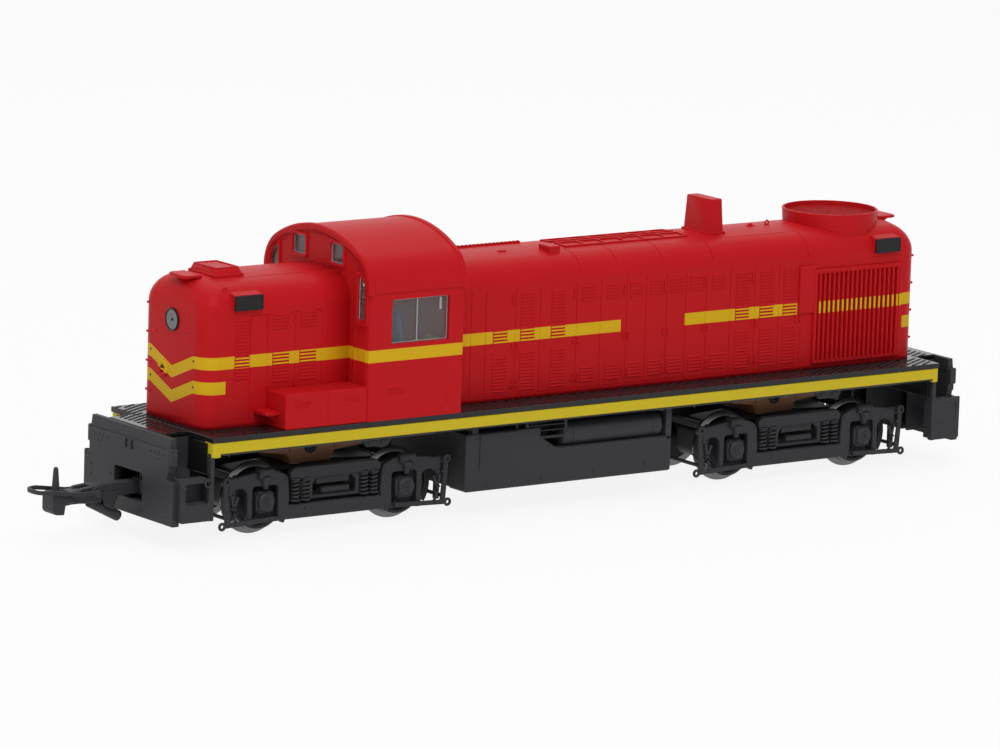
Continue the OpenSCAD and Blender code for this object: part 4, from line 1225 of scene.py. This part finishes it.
class LOCO_OT_tank(bpy.types.Operator):
    """Build the underfloor tank with its posts and grille, and the air reservoirs"""

    bl_idname = "loco.tank"
    bl_label = "Tank and reservoirs"

    def execute(self, context):
        self.tank()
        self.reservoirs()
        self.hangers()
        return {"FINISHED"}

    def tank(self):
        """The tank's core between two side walls, each with its posts, grille, clips and studs."""
        low, high = box_mm("fuel_tank")
        x0, x1, y, z, top = low[0], high[0], -high[1], low[2], high[2]
        core = blocks((x0 + 0.3, y + 5, z + 0.2), (x1 - 0.3, -y - 5, top), 0.1)
        outline = rounded([(x0, z), (x1, z), (x1, z + 6.6), (x0 + 20.6, z + 6.6), (x0 + 16.8, z + 9.0),
                           (x0 + 16.8, z + 10.8), (x0, z + 10.8)], [0.5, 0.5, 0.2, 0.6, 0.5, 0.3, 0.3])
        wall = plate([outline], y, y + 5.2, 0.16)
        end_post = blocks((x1 - 1.3, y, z + 6), (x1, y + 5.2, top - 0.2), 0.14)
        cap = blocks((x1 - 2.6, y + 0.4, top - 1.6), (x1 - 0.2, y + 3, top), 0.12)
        posts = blocks([(x0 + 1.4, y + 0.2, z + 10), (x0 + 11.6, y + 0.6, z + 9.8)],
                       [(x0 + 2.9, y + 2.2, top), (x0 + 12.1, y + 1.4, top - 0.2)], 0.1)
        rib = blocks([(x0 + 3.1, y - 0.2, z + 3.9), (x0 + 3.1, y - 0.12, z + 10.3)],
                     [(x0 + 3.45, y + 0.2, z + 10.6), (x0 + 11.5, y + 0.2, z + 10.6)], 0.06)
        grille = plate([rectangle((x0 + 13.6, z + 8.5), (x0 + 23.0, z + 12.2)),
                        rectangle((x0 + 14.2, z + 9.0), (x0 + 22.4, z + 11.7))], y + 0.2, y + 0.9, 0.1)
        bars = blocks([(x0 + 13.8, y + 0.35, z + 9.9), (x0 + 13.8, y + 0.35, z + 10.9)],
                      [(x0 + 22.8, y + 0.8, z + 10.15), (x0 + 22.8, y + 0.8, z + 11.15)], 0.06)
        half = upright(circle(0.45, 13, -math.pi / 2)[:8] * [-1, 1])
        clips = [shifted(carried(half, circle(0.12, 6), (0, 1, 0)), x, y - 0.02, z + 1.5 + 0.02 * x)
                 for x in x0 + np.array([5.2, 17.6, 29.4, 41.0])]
        studs = knobs(domed(0.12, 0.16, 0.1, 0.2),
                      [(x0 + 18.8, y, z + 6.9), (x1 - 0.7, y, z + 10.9), (x1 - 0.7, y, z + 8.5)])
        part = joined(wall, end_post, cap, posts, rib, grille, bars, *clips, studs)
        new_piece("fuel_tank_shell", joined(core, mirrored(part)), ("fuel_tank",), "frame_black")

    def reservoirs(self):
        low, high = box_mm("air_reservoirs")
        r, length = (high[2] - low[2]) / 2, high[0] - low[0]
        x, y = low[0], -high[1] + r
        tube = turned([(0, -0.1), (0.6 * r, 0.0), (0.9 * r, 0.3), (r, 0.9), (r, 2.2), (r - 0.08, 2.25),
                       (r - 0.08, 2.45), (r, 2.5), (r, length - 2.5), (r - 0.08, length - 2.45),
                       (r - 0.08, length - 2.25), (r, length - 2.2), (r, length - 0.3), (0, length - 0.1)],
                      (x, y, low[2] + r), (1, 0, 0), 48)
        pipe = carried([(x + 3, y, high[2] - 0.3), (x + 3, y, high[2] + 1.4),
                        (x + 3, y + 0.1, high[2] + 2.6)], circle(0.3, 8), (0, 1, 0))
        new_piece("air_reservoir_tubes", mirrored(joined(tube, pipe)), ("air_reservoirs",), "frame_black")

    def hangers(self):
        outline = rounded([(0, 1.2), (0.8, 0.1), (5.4, 0.1), (6.2, 0.9), (6.2, 1.9), (0, 1.9)], 0.2)
        pads = blocks([(1.2, -15.6, 0.5), (3.9, -15.6, 0.5)], [(2.6, -15.2, 1.3), (5.2, -15.2, 1.3)], 0.1)
        hanger = joined(plate([outline], -15.4, -14.6, 0.1), pads)
        hangers = joined(*[shifted(hanger, x, 0, 15.3) for x in (-49.6, 54.2)])
        new_piece("sill_hangers", mirrored(hangers), slot="frame_black")


# ---------------------------------------------------------------- trucks


TRUCK_X = (box_mm("wheelset_3")[0][0] + box_mm("wheelset_4")[1][0]) / 2
WHEEL_LOW, WHEEL_HIGH = box_mm("wheelset_4")
AXLE_X = (WHEEL_LOW[0] + WHEEL_HIGH[0]) / 2 - TRUCK_X
AXLE_Z = (WHEEL_LOW[2] + WHEEL_HIGH[2]) / 2
FACE_Y, SPRING_X = 12.2, (6.4, 8.55)
TRUCKS = (("front", -TRUCK_X, ("front_outer_wheels", "front_inner_wheels"), ("wheelset_1", "wheelset_2")),
          ("rear", TRUCK_X, ("rear_inner_wheels", "rear_outer_wheels"), ("wheelset_3", "wheelset_4")))


def coil(x, y, z0, z1, radius=0.85, wire=0.2, turns=5):
    """A coil spring: its wire climbs evenly from z0 to z1 while it goes round."""
    t = np.linspace(0, 1, turns * 12 + 1)
    path = np.column_stack([x + radius * np.cos(2 * np.pi * turns * t),
                            y + radius * np.sin(2 * np.pi * turns * t),
                            z0 + (z1 - z0) * t])
    return carried(path, circle(wire, 6))


class LOCO_OT_trucks(bpy.types.Operator):
    """Build both trucks: side frames, springs, axle boxes, brake gear, gear housings and wheels"""

    bl_idname = "loco.trucks"
    bl_label = "Trucks"

    def execute(self, context):
        # black sheets behind each side frame's opening: painted shade, standing for the dark hollow inside
        # the truck
        shade_backs = mirrored(blocks((-9.9, -FACE_Y + 3.2, 4.6), (9.9, -FACE_Y + 3.8, 11.4), 0.05))
        sides = joined(mirrored(self.side_frame()), self.cross_parts())
        springs = mirrored(joined(*[coil(s * x, -FACE_Y + 0.55, 6.4, 10.0, 0.78, 0.2)
                                    for s in (-1, 1) for x in SPRING_X]))
        gear, case, screws = self.gear_housing()
        tyres, centres = self.wheels()
        for name, x, wheel_bodies, wheel_nodes in TRUCKS:
            body = name + "_truck"
            new_piece(body + "_backs", shifted(shade_backs, x), (), "board_black", body)
            new_piece(body + "_frame", shifted(sides, x), ("truck_frame_" + name,), "frame_black", body)
            new_piece(body + "_springs", shifted(springs, x), (), "frame_black", body, 60)
            new_piece(name + "_gear_housing", shifted(gear, x), ("gear_tower_" + name,), "gear_brown", body)
            new_piece(name + "_gear_case", shifted(case, x), (), "frame_black", body)
            new_piece(name + "_gear_screws", shifted(screws, x), (), "frame_black", body)
            for side, wheels, node in zip((-1, 1), wheel_bodies, wheel_nodes):
                place = (x + side * AXLE_X, 0, AXLE_Z)
                new_piece(node + "_tyres", shifted(tyres, *place), (node,), "wheel_metal", wheels)
                new_piece(node + "_centres", shifted(centres, *place), (), "frame_black", wheels)
        return {"FINISHED"}

    def side_frame(self):
        """One side of a truck, seen from outside, about the truck's own middle."""
        y = -FACE_Y
        half = rounded([(11.0, 1.95), (12.4, 3.4), (12.4, 9.5), (17.9, 9.5), (17.9, 2.6), (19.0, 2.6),
                        (19.0, 9.4), (22.3, 9.4), (22.3, 3.6), (23.0, 3.6), (23.2, 11.3), (17.6, 12.1),
                        (13.0, 12.3), (10.3, 11.0), (9.9, 6.3)],
                       [1.6, 0.8, 0.7, 0.7, 0.15, 0.15, 1.5, 1.5, 0.1, 0.1, 0.6, 0.6, 1.4, 0.9, 0.8])
        side = plate([np.concatenate([half, half[::-1] * [-1, 1]])], y, y + 1.3, 0.16)
        bar = rounded([(-9.7, 10.3), (-9.0, 10.2), (9.0, 10.2), (9.7, 10.3), (9.9, 11.4), (8.9, 12.3),
                       (-8.9, 12.3), (-9.9, 11.4)], 0.3)
        opening = rounded([(-4.7, 6.7), (4.7, 6.7), (4.7, 8.9), (3.9, 9.8), (-3.9, 9.8), (-4.7, 8.9)], 0.2)
        surround = plate([rectangle((-5.5, 6.1), (5.5, 10.4), 0.3), opening], y + 0.35, y + 1.2, 0.2)
        ledge = blocks((-2.4, y + 0.9, 6.9), (3.7, y + 3.4, 7.9), 0.14)
        seats = knobs([(0, 0), (1.05, 0), (1.05, 0.3), (0, 0.3)],
                      [(s * x, y + 0.55, z) for s in (-1, 1) for x in SPRING_X for z in (6.1, 10.0)],
                      (0, 0, 1), 16)
        studs = knobs(domed(0.14, 0.2, 0.12, 0.26), [(x, y, z) for x, z in (
            (-6.5, 4.6), (6.5, 5.4), (-10.9, 10.4), (10.9, 10.4), (0, 11.2))])
        one = joined(self.axle_box(), self.brake_cylinder(), self.brakes())
        return joined(side, plate([bar], y - 0.1, y + 1.3, 0.16), surround, ledge, seats, studs,
                      mirrored(one, 0))

    def axle_box(self):
        """An axle box in its guides, with a stepped round cap."""
        x, y, z = AXLE_X, -FACE_Y, AXLE_Z
        box = plate([rectangle((x - 1.9, z - 2.2), (x + 1.9, z + 1.8), 1.1)], y - 0.1, y + 1.6, 0.25)
        shoulder = plate([rectangle((x - 1.55, z - 1.8), (x + 1.55, z + 1.5), 0.9)], y - 0.5, y + 0.2, 0.15)
        cap = turned([(0, 0.75), (0.3, 0.72), (0.4, 0.45), (0.8, 0.42), (0.95, 0.18), (1.4, 0.15),
                      (1.7, -0.08), (1.7, -0.5), (0, -0.5)], (x + 0.1, y - 0.7, z), (0, -1, 0), 28)
        bolts = knobs(domed(0.2, 0.16, 0.18, 0.2),
                      [(x + dx, y - 0.1, z + dz) for dx in (-1.45, 1.45) for dz in (-1.75, 1.4)], count=8)
        tie = blocks((x - 2.9, y + 0.25, z - 3.9), (x + 3.0, y + 1.0, z - 3.1), 0.12)
        return joined(box, shoulder, cap, tie, bolts)

    def brake_cylinder(self):
        """The cylinder on top of the side frame over an axle, and the cone below it."""
        x, y, z = AXLE_X, -FACE_Y, AXLE_Z + 5.2
        barrel = turned([(0, -1.7), (0.75, -1.65), (0.85, -1.4), (1.0, -1.3), (1.0, 1.1), (1.1, 1.2),
                         (1.1, 1.55), (0.8, 1.7), (0, 1.7)], (x + 0.2, y + 0.1, z), (1, 0, 0), 24)
        foot = blocks((x - 1.3, y + 0.1, z - 1.2), (x + 1.5, y + 1.3, z + 0.2), 0.12)
        cone = turned([(0, -2.9), (0.5, -2.8), (0.55, -2.0), (1.05, -0.9), (1.05, -0.6), (0, -0.6)],
                      (x + 0.2, y - 0.15, z), count=20)
        return joined(barrel, foot, cone)

    def brakes(self):
        """Hanger, crossed links, bottom rod with its eye, and the shoe against the tread.

        The shoe's outline is two arcs about the axle, of radius 5.95 and 7.1.
        """
        y = -FACE_Y
        hanger = rounded([(23.5, 11.9), (24.6, 11.9), (24.5, 9.4), (24.0, 3.0), (23.0, 2.6), (22.9, 3.4),
                          (23.5, 8.6)], 0.3)
        eye = turned([(0.35, 0.3), (0.75, 0.28), (0.85, 0.15), (0.85, -0.5), (0.35, -0.5)],
                     (24.0, y - 0.55, 11.1), (0, -1, 0), 18)
        arm = blocks((21.6, y + 0.1, 10.2), (24.3, y + 0.9, 11.6), 0.16)
        start = upright(np.array([(22.7, 8.3), (21.3, 8.1), (22.7, 6.2), (22.5, 3.2)])) + [0, y - 0.35, 0]
        end = upright(np.array([(21.6, 3.2), (22.3, 5.7), (21.7, 5.2), (21.4, 3.4)])) + [0, y - 0.35, 0]
        links = strips(start, end, rectangle((-0.22, -0.16), (0.22, 0.16)), up=(0, 1, 0))
        pins = knobs(domed(0.25, 0.26, 0.22, 0.3, 0.1, 0.3),
                     [(x, y - 0.45, z) for x, z in ((21.6, 3.3), (22.2, 5.9), (23.6, 5.4), (23.3, 8.8))])
        rod = strips((12.8, y - 0.3, 3.4), (24.2, y - 0.3, 3.0), rectangle((-0.25, -0.42), (0.25, 0.42)),
                     up=(0, 0.1, 1))
        loop = hoop(0.55, 0.27, (24.6, y - 0.35, 2.95), 16, 8)
        turn = np.radians(np.linspace(-32, 38, 12))
        reach = np.stack([np.cos(turn), np.sin(turn)], -1)
        shoe = np.concatenate([reach * 5.95, reach[::-1] * 7.1]) + [AXLE_X, AXLE_Z]
        return joined(plate([hanger], y - 0.55, y - 0.05, 0.1), eye, arm, links, rod, loop,
                      plate([shoe], -10.0, -8.4, 0.12), pins)

    def cross_parts(self):
        """The bolster's two halves beside the gear housing, and the beams that join the side frames."""
        bolster = mirrored(blocks((-3.6, -11.2, AXLE_Z + 1.9), (3.6, -5.9, AXLE_Z + 3.6), 0.16))
        beams = blocks([(-19.6, -11.4, 9.9), (18.4, -11.4, 9.9)], [(-18.4, 11.4, 11.1), (19.6, 11.4, 11.1)],
                       0.16)
        rods = strips([(-23.4, -12.3, 4.2), (23.4, -12.3, 4.2)], [(-23.4, 12.3, 4.2), (23.4, 12.3, 4.2)],
                      circle(0.35, 10))
        return joined(bolster, beams, rods)

    def gear_housing(self):
        """The housing over a truck's middle, the case round its axles, and its screws."""
        outline = rounded([(-11.2, 17.2), (-11.2, 13.9), (-6.0, 13.3), (-5.2, 11.3), (3.3, 11.3), (4.2, 13.2),
                           (11.6, 13.8), (11.6, 17.2)], 0.35)
        ribs = mirrored(blocks([(-5.7, -5.8, 13.4), (4.0, -5.8, 13.5)],
                               [(-5.3, -5.3, 16.9), (4.4, -5.3, 16.9)], 0.08))
        case = rounded([(-17.6, 4.6), (-16.4, 3.4), (16.4, 3.4), (17.6, 4.6), (17.6, 8.6), (15.6, 10.6),
                        (3.4, 11.4), (-3.4, 11.4), (-15.6, 10.6), (-17.6, 8.6)], 0.6)
        middle = blocks((-3.2, -5.5, AXLE_Z + 1.7), (3.2, 5.5, AXLE_Z + 5), 0.2)
        screw = turned([(0, 0.1), (0.55, 0.1), (0.62, 0.42), (1.2, 0.42), (1.35, 0.28), (1.35, -0.3),
                        (0, -0.3)], (-1.2, -5.5, 14.5), (0, -1, 0), 28)
        small = knobs(domed(0.25, 0.3, 0.22, 0.38, root=0.3), [(x, -5.5, 14.8) for x in (-8.6, 6.6, 9.6)],
                      count=12)
        return (joined(plate([outline], -5.5, 5.5, 0.3), ribs), joined(plate([case], -3.4, 3.4, 0.3), middle),
                mirrored(joined(screw, small)))

    def wheels(self):
        """An axle about its own middle: its tyres and shaft of metal darkened as painted shade, and its
        wheels' dark centres.
        """
        back, tread_r, flange, axis = 7.22, AXLE_Z - 1.0, AXLE_Z, (0, 1, 0)
        tyre = [(5.3, back), (flange - 0.25, back), (flange, back + 0.25), (flange - 0.06, back + 0.5),
                (flange - 0.5, back + 0.75), (tread_r + 0.02, back + 0.95), (tread_r - 0.1, back + 2.65),
                (tread_r - 0.2, back + 2.74), (5.3, back + 2.74)]
        centre = [(1.0, back + 0.1), (5.4, back + 0.12), (5.42, back + 2.76), (4.9, back + 2.8),
                  (4.4, back + 2.2), (2.6, back + 1.9), (2.1, back + 2.5), (1.9, back + 2.95),
                  (1.0, back + 2.95)]
        half = [(0.78, 11.6), (0.78, 10.1), (1.0, 10.0)]
        other = [(r, -y) for r, y in half]
        shaft = [(0, -11.8), (0.7, -11.8), *other, *half[::-1], (0.7, 11.8), (0, 11.8)]
        hole = [(0, back + 2.16), (0.4, back + 2.16), (0.4, back + 2.3), (0.55, back + 2.3),
                (0.55, back + 1.6), (0, back + 1.6)]
        holes = knobs(hole,
                      [(3.35 * math.cos(a), 0, 3.35 * math.sin(a)) for a in np.radians([0, 90, 180, 270])],
                      axis, 12)
        tyres = joined(mirrored(turned(tyre, axis=axis, count=64)), turned(shaft, axis=axis, count=24))
        return tyres, mirrored(joined(turned(centre, axis=axis, count=48), holes))


# ---------------------------------------------------------------- coupler


DRAFT_Z, LOOP_X = 9.2, -97.8
SWING_X = box_mm("coupler_head")[1][0] - 2.3


class LOCO_OT_coupler(bpy.types.Operator):
    """Build the hook coupler and its lift loop"""

    bl_idname = "loco.coupler"
    bl_label = "Coupler"

    def execute(self, context):
        self.hook()
        self.loop()
        return {"FINISHED"}

    def hook(self):
        z, swing, pin = DRAFT_Z, SWING_X, LOOP_X
        boss = turned([(1.16, -1.4), (2.1, -1.4), (2.3, -1.2), (2.3, 1.2), (2.1, 1.4), (1.16, 1.4)],
                      (swing, 0, z), count=32)
        shank = tapered((pin - 0.5, -1.3, z - 1.2), (swing - 1.3, 1.3, z + 1.2), (0, 0.15), 0.2)
        half = np.array([(-106.5, -1.85), (-103.4, -1.85), (-102.6, -1.5), (-100.9, -1.5), (-100.2, -1.85),
                         (-96.6, -1.85), (-95.8, -1.2)])
        outline = rounded(np.concatenate([half, half[::-1] * [1, -1]]), 0.3)
        square = rectangle((-99.6, -0.8), (-98.0, 0.8), 0.1)
        slot = rectangle((-104.1, -1.1), (-102.9, 1.1), 0.2)
        head = plate([outline, square, slot], z - 1.9, z + 0.5, 0.16, "xy")
        cheek = rounded([(-101.6, z + 0.3), (-96.0, z + 0.3), (-96.0, z + 1.0), (-97.4, z + 1.2),
                         (-100.6, z + 0.9)], 0.3)
        claw = rounded([(-106.7, z + 0.2), (-106.7, z - 2.8), (-106.2, z - 3.4), (-104.3, z - 3.6),
                        (-104.0, z - 1.7), (-102.2, z - 1.5), (-102.2, z - 0.6)], 0.3)
        peg = turned([(0, -0.6), (0.85, -0.6), (0.82, 0.5), (0.72, 0.9), (0.44, 4.6), (0.3, 4.9), (0, 4.95)],
                     (-105.1, 0, z), count=24)
        knob = turned([(0.42, 0.3), (0.75, 0.3), (0.9, 0.15), (0.95, 0), (0.95, -0.4), (0.42, -0.4)],
                      (pin, -1.85, z), (0, -1, 0), 24)
        web = rounded([(-96.2, z - 0.4), (-92.4, z - 0.2), (-93.8, z - 3.6), (-95.6, z - 2.8)], 0.2)
        spigot = turned([(0, 0), (0.9, 0.05), (1.0, 0.2), (1.0, 7.0), (0.92, 7.2), (0.66, 7.2),
                         (0.58, 6.7), (0, 6.7)], (-98.2, 0, z - 1.9), (6.6, 0, -3.4), 24)
        part = joined(boss, shank, head, mirrored(plate([cheek], -1.85, -1.0, 0.12)),
                      plate([claw], -1.98, 1.98, 0.2), peg, mirrored(knob),
                      mirrored(plate([web], -1.5, -1.0, 0.1)),
                      spigot)
        new_piece("coupler_hook", part, ("coupler_head",), "frame_black", "coupler")

    def loop(self):
        """The lift loop: a flat band carried round the head, which climbs a little towards its bow."""
        z, pin = DRAFT_Z, LOOP_X
        low, high = box_mm("coupler_loop")
        side, front = high[1] - 0.35, low[0] + 1.9
        bow = rounded([(pin - 1.0, -side), (front, -side), (front, side), (pin - 1.0, side)], 2.4, 8)[8:-8]
        leg = np.array([(pin + 0.4, -side + 0.25), (pin - 1.0, -side + 0.15), (pin - 3.5, -side)])
        path = np.concatenate([leg, bow, leg[::-1] * [1, -1]])
        climb = 0.9 * np.clip((pin - 4 - path[:, 0]) / 5, 0, 1)
        path = np.column_stack([path, z + 0.05 + climb])
        band = carried(path, rounded([(-0.28, -0.35), (0.28, -0.35), (0.28, 0.4), (-0.28, 0.4)], 0.12, 3))
        pins = turned([(0, -1.4), (0.38, -1.4), (0.38, 0.35), (0.6, 0.4), (0.7, 0.6), (0.55, 0.8), (0, 0.85)],
                      (pin, -side + 0.5, z), (0, -1, 0), 20)
        new_piece("coupler_lift_loop", joined(band, mirrored(pins)), ("coupler_loop",), "frame_black", "loop",
                  45)


# ---------------------------------------------------------------- stage


class LOCO_OT_stage(bpy.types.Operator):
    """Make the floor, the lamps, the plain surroundings and the camera"""

    bl_idname = "loco.stage"
    bl_label = "Stage"

    def execute(self, context):
        context.scene.view_settings.view_transform = "Standard"
        self.camera(context.scene)
        self.surroundings(context.scene)
        self.floor(context.scene)
        for name, place, size, power in (
                ("key", (-0.35, -0.75, 0.95), 0.6, 5.5),
                ("fill", (-1.0, 0.1, 0.55), 0.8, 0.95),
                ("top", (0.15, 0.25, 1.1), 0.9, 4.0)):
            light = bpy.data.lights.new(name, "AREA")
            light.size, light.energy = size, power
            gap = np.array(place) / np.linalg.norm(place)
            side = unit(np.cross((0, 0, 1), gap))
            self.put(context.scene, name, light, side, np.cross(gap, side), gap, place)
        return {"FINISHED"}

    def put(self, scene, name, data, right, up, back, place):
        """A lamp or camera whose own axes point right, up and back, at a place in metres."""
        pose = np.eye(4)
        pose[:3, 0], pose[:3, 1], pose[:3, 2], pose[:3, 3] = right, up, back, place
        thing = bpy.data.objects.new(name, data)
        thing.matrix_world = Matrix(pose.tolist())
        scene.collection.objects.link(thing)
        return thing

    def camera(self, scene):
        """The camera looks at its target from azimuth az and elevation el, and is rolled by roll."""
        az, el, roll = (math.radians(a) for a in (-35.8542, 10.4795, 1.7671))
        target, distance = np.array([-3.4103, 7.0775, 21.2139]), 1246.454
        back = np.array([math.sin(az) * math.cos(el), -math.cos(az) * math.cos(el), math.sin(el)])
        level = np.array([math.cos(az), math.sin(az), 0])
        over = np.cross(back, level)
        right = level * math.cos(roll) + over * math.sin(roll)
        up = over * math.cos(roll) - level * math.sin(roll)
        data = bpy.data.cameras.new("camera")
        data.lens, data.sensor_width = 240.054, 36
        data.clip_start, data.clip_end = 0.05, 20
        scene.camera = self.put(scene, "camera", data, right, up, back, (target + back * distance) * MM)

    def seen(self, tree):
        """1 where the floor or the surroundings show: directly, in a reflection or through glass."""
        rays = add(tree, "LightPath", {}).outputs
        clear = math_of(tree, "MAXIMUM", rays["Is Glossy Ray"], rays["Is Transmission Ray"])
        return math_of(tree, "MAXIMUM", rays["Is Camera Ray"], clear)

    def surroundings(self, scene):
        """White where they are seen, and dimmer as a source of light."""
        world = scene.world = bpy.data.worlds.new("studio")
        world.use_nodes = True
        tree = world.node_tree
        air = tree.nodes["Background"].inputs
        air["Color"].default_value = (1, 1, 1, 1)
        level = add(tree, "MapRange", {"To Min": 0.32, "To Max": 1.0, "Value": self.seen(tree)})
        tree.links.new(level.outputs["Result"], air["Strength"])

    def floor(self, scene):
        """A pale floor: most of what is seen of it is plain white, and the rest takes the shadow."""
        mesh = bpy.data.meshes.new("floor")
        mesh.from_pydata([(-3, -3, 0), (3, -3, 0), (3, 3, 0), (-3, 3, 0)], [], [(0, 1, 2, 3)])
        floor = bpy.data.objects.new("floor", mesh)
        scene.collection.objects.link(floor)
        ground = bpy.data.materials.new("floor")
        ground.use_nodes = True
        tree = ground.node_tree
        shader = tree.nodes["Principled BSDF"]
        shader.inputs["Base Color"].default_value = (0.95, 0.95, 0.95, 1)
        shader.inputs["Roughness"].default_value = 0.7
        white = add(tree, "Emission", {})
        share = math_of(tree, "MULTIPLY", self.seen(tree), 0.88)
        mixed = add(tree, "MixShader", {0: share, 1: shader.outputs[0], 2: white.outputs[0]})
        tree.links.new(mixed.outputs[0], tree.nodes["Material Output"].inputs["Surface"])
        mesh.materials.append(ground)


class LOCO_OT_finishes(bpy.types.Operator):
    """Give every CAD node the material of its slot"""

    bl_idname = "loco.finishes"
    bl_label = "Finishes"

    def execute(self, context):
        slots = {s["node"]: s["material_slot"] for s in frame["record"]["subparts"]}
        for node, piece in frame["nodes"].items():
            piece.data.materials.clear()
            piece.data.materials.append(finish_of(slots[node]))
        return {"FINISHED"}


class LOCO_PT_panel(bpy.types.Panel):
    """Lists the locomotive's operators"""

    bl_idname = "LOCO_PT_panel"
    bl_label = "Locomotive"
    bl_space_type = "VIEW_3D"
    bl_region_type = "UI"
    bl_category = "Locomotive"

    def draw(self, context):
        for operator in OPERATORS:
            self.layout.operator(operator.bl_idname)


OPERATORS = (LOCO_OT_stage, LOCO_OT_finishes, LOCO_OT_hoods, LOCO_OT_side_details,
             LOCO_OT_cab, LOCO_OT_roof, LOCO_OT_nose, LOCO_OT_deck, LOCO_OT_ends, LOCO_OT_tank,
             LOCO_OT_trucks, LOCO_OT_coupler)
CLASSES = (LocoPaint, LocoStripe, *OPERATORS, LOCO_PT_panel)


def register():
    for each in CLASSES:
        bpy.utils.register_class(each)
    bpy.types.Scene.loco_paint = PointerProperty(type=LocoPaint)
    bpy.types.Scene.loco_stripe = PointerProperty(type=LocoStripe)


def unregister():
    del bpy.types.Scene.loco_paint
    del bpy.types.Scene.loco_stripe
    for each in reversed(CLASSES):
        bpy.utils.unregister_class(each)


def main():
    register()
    for operator in OPERATORS:
        getattr(bpy.ops.loco, operator.bl_idname.split(".")[1])()
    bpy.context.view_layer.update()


if __name__ == "__main__":
    main()
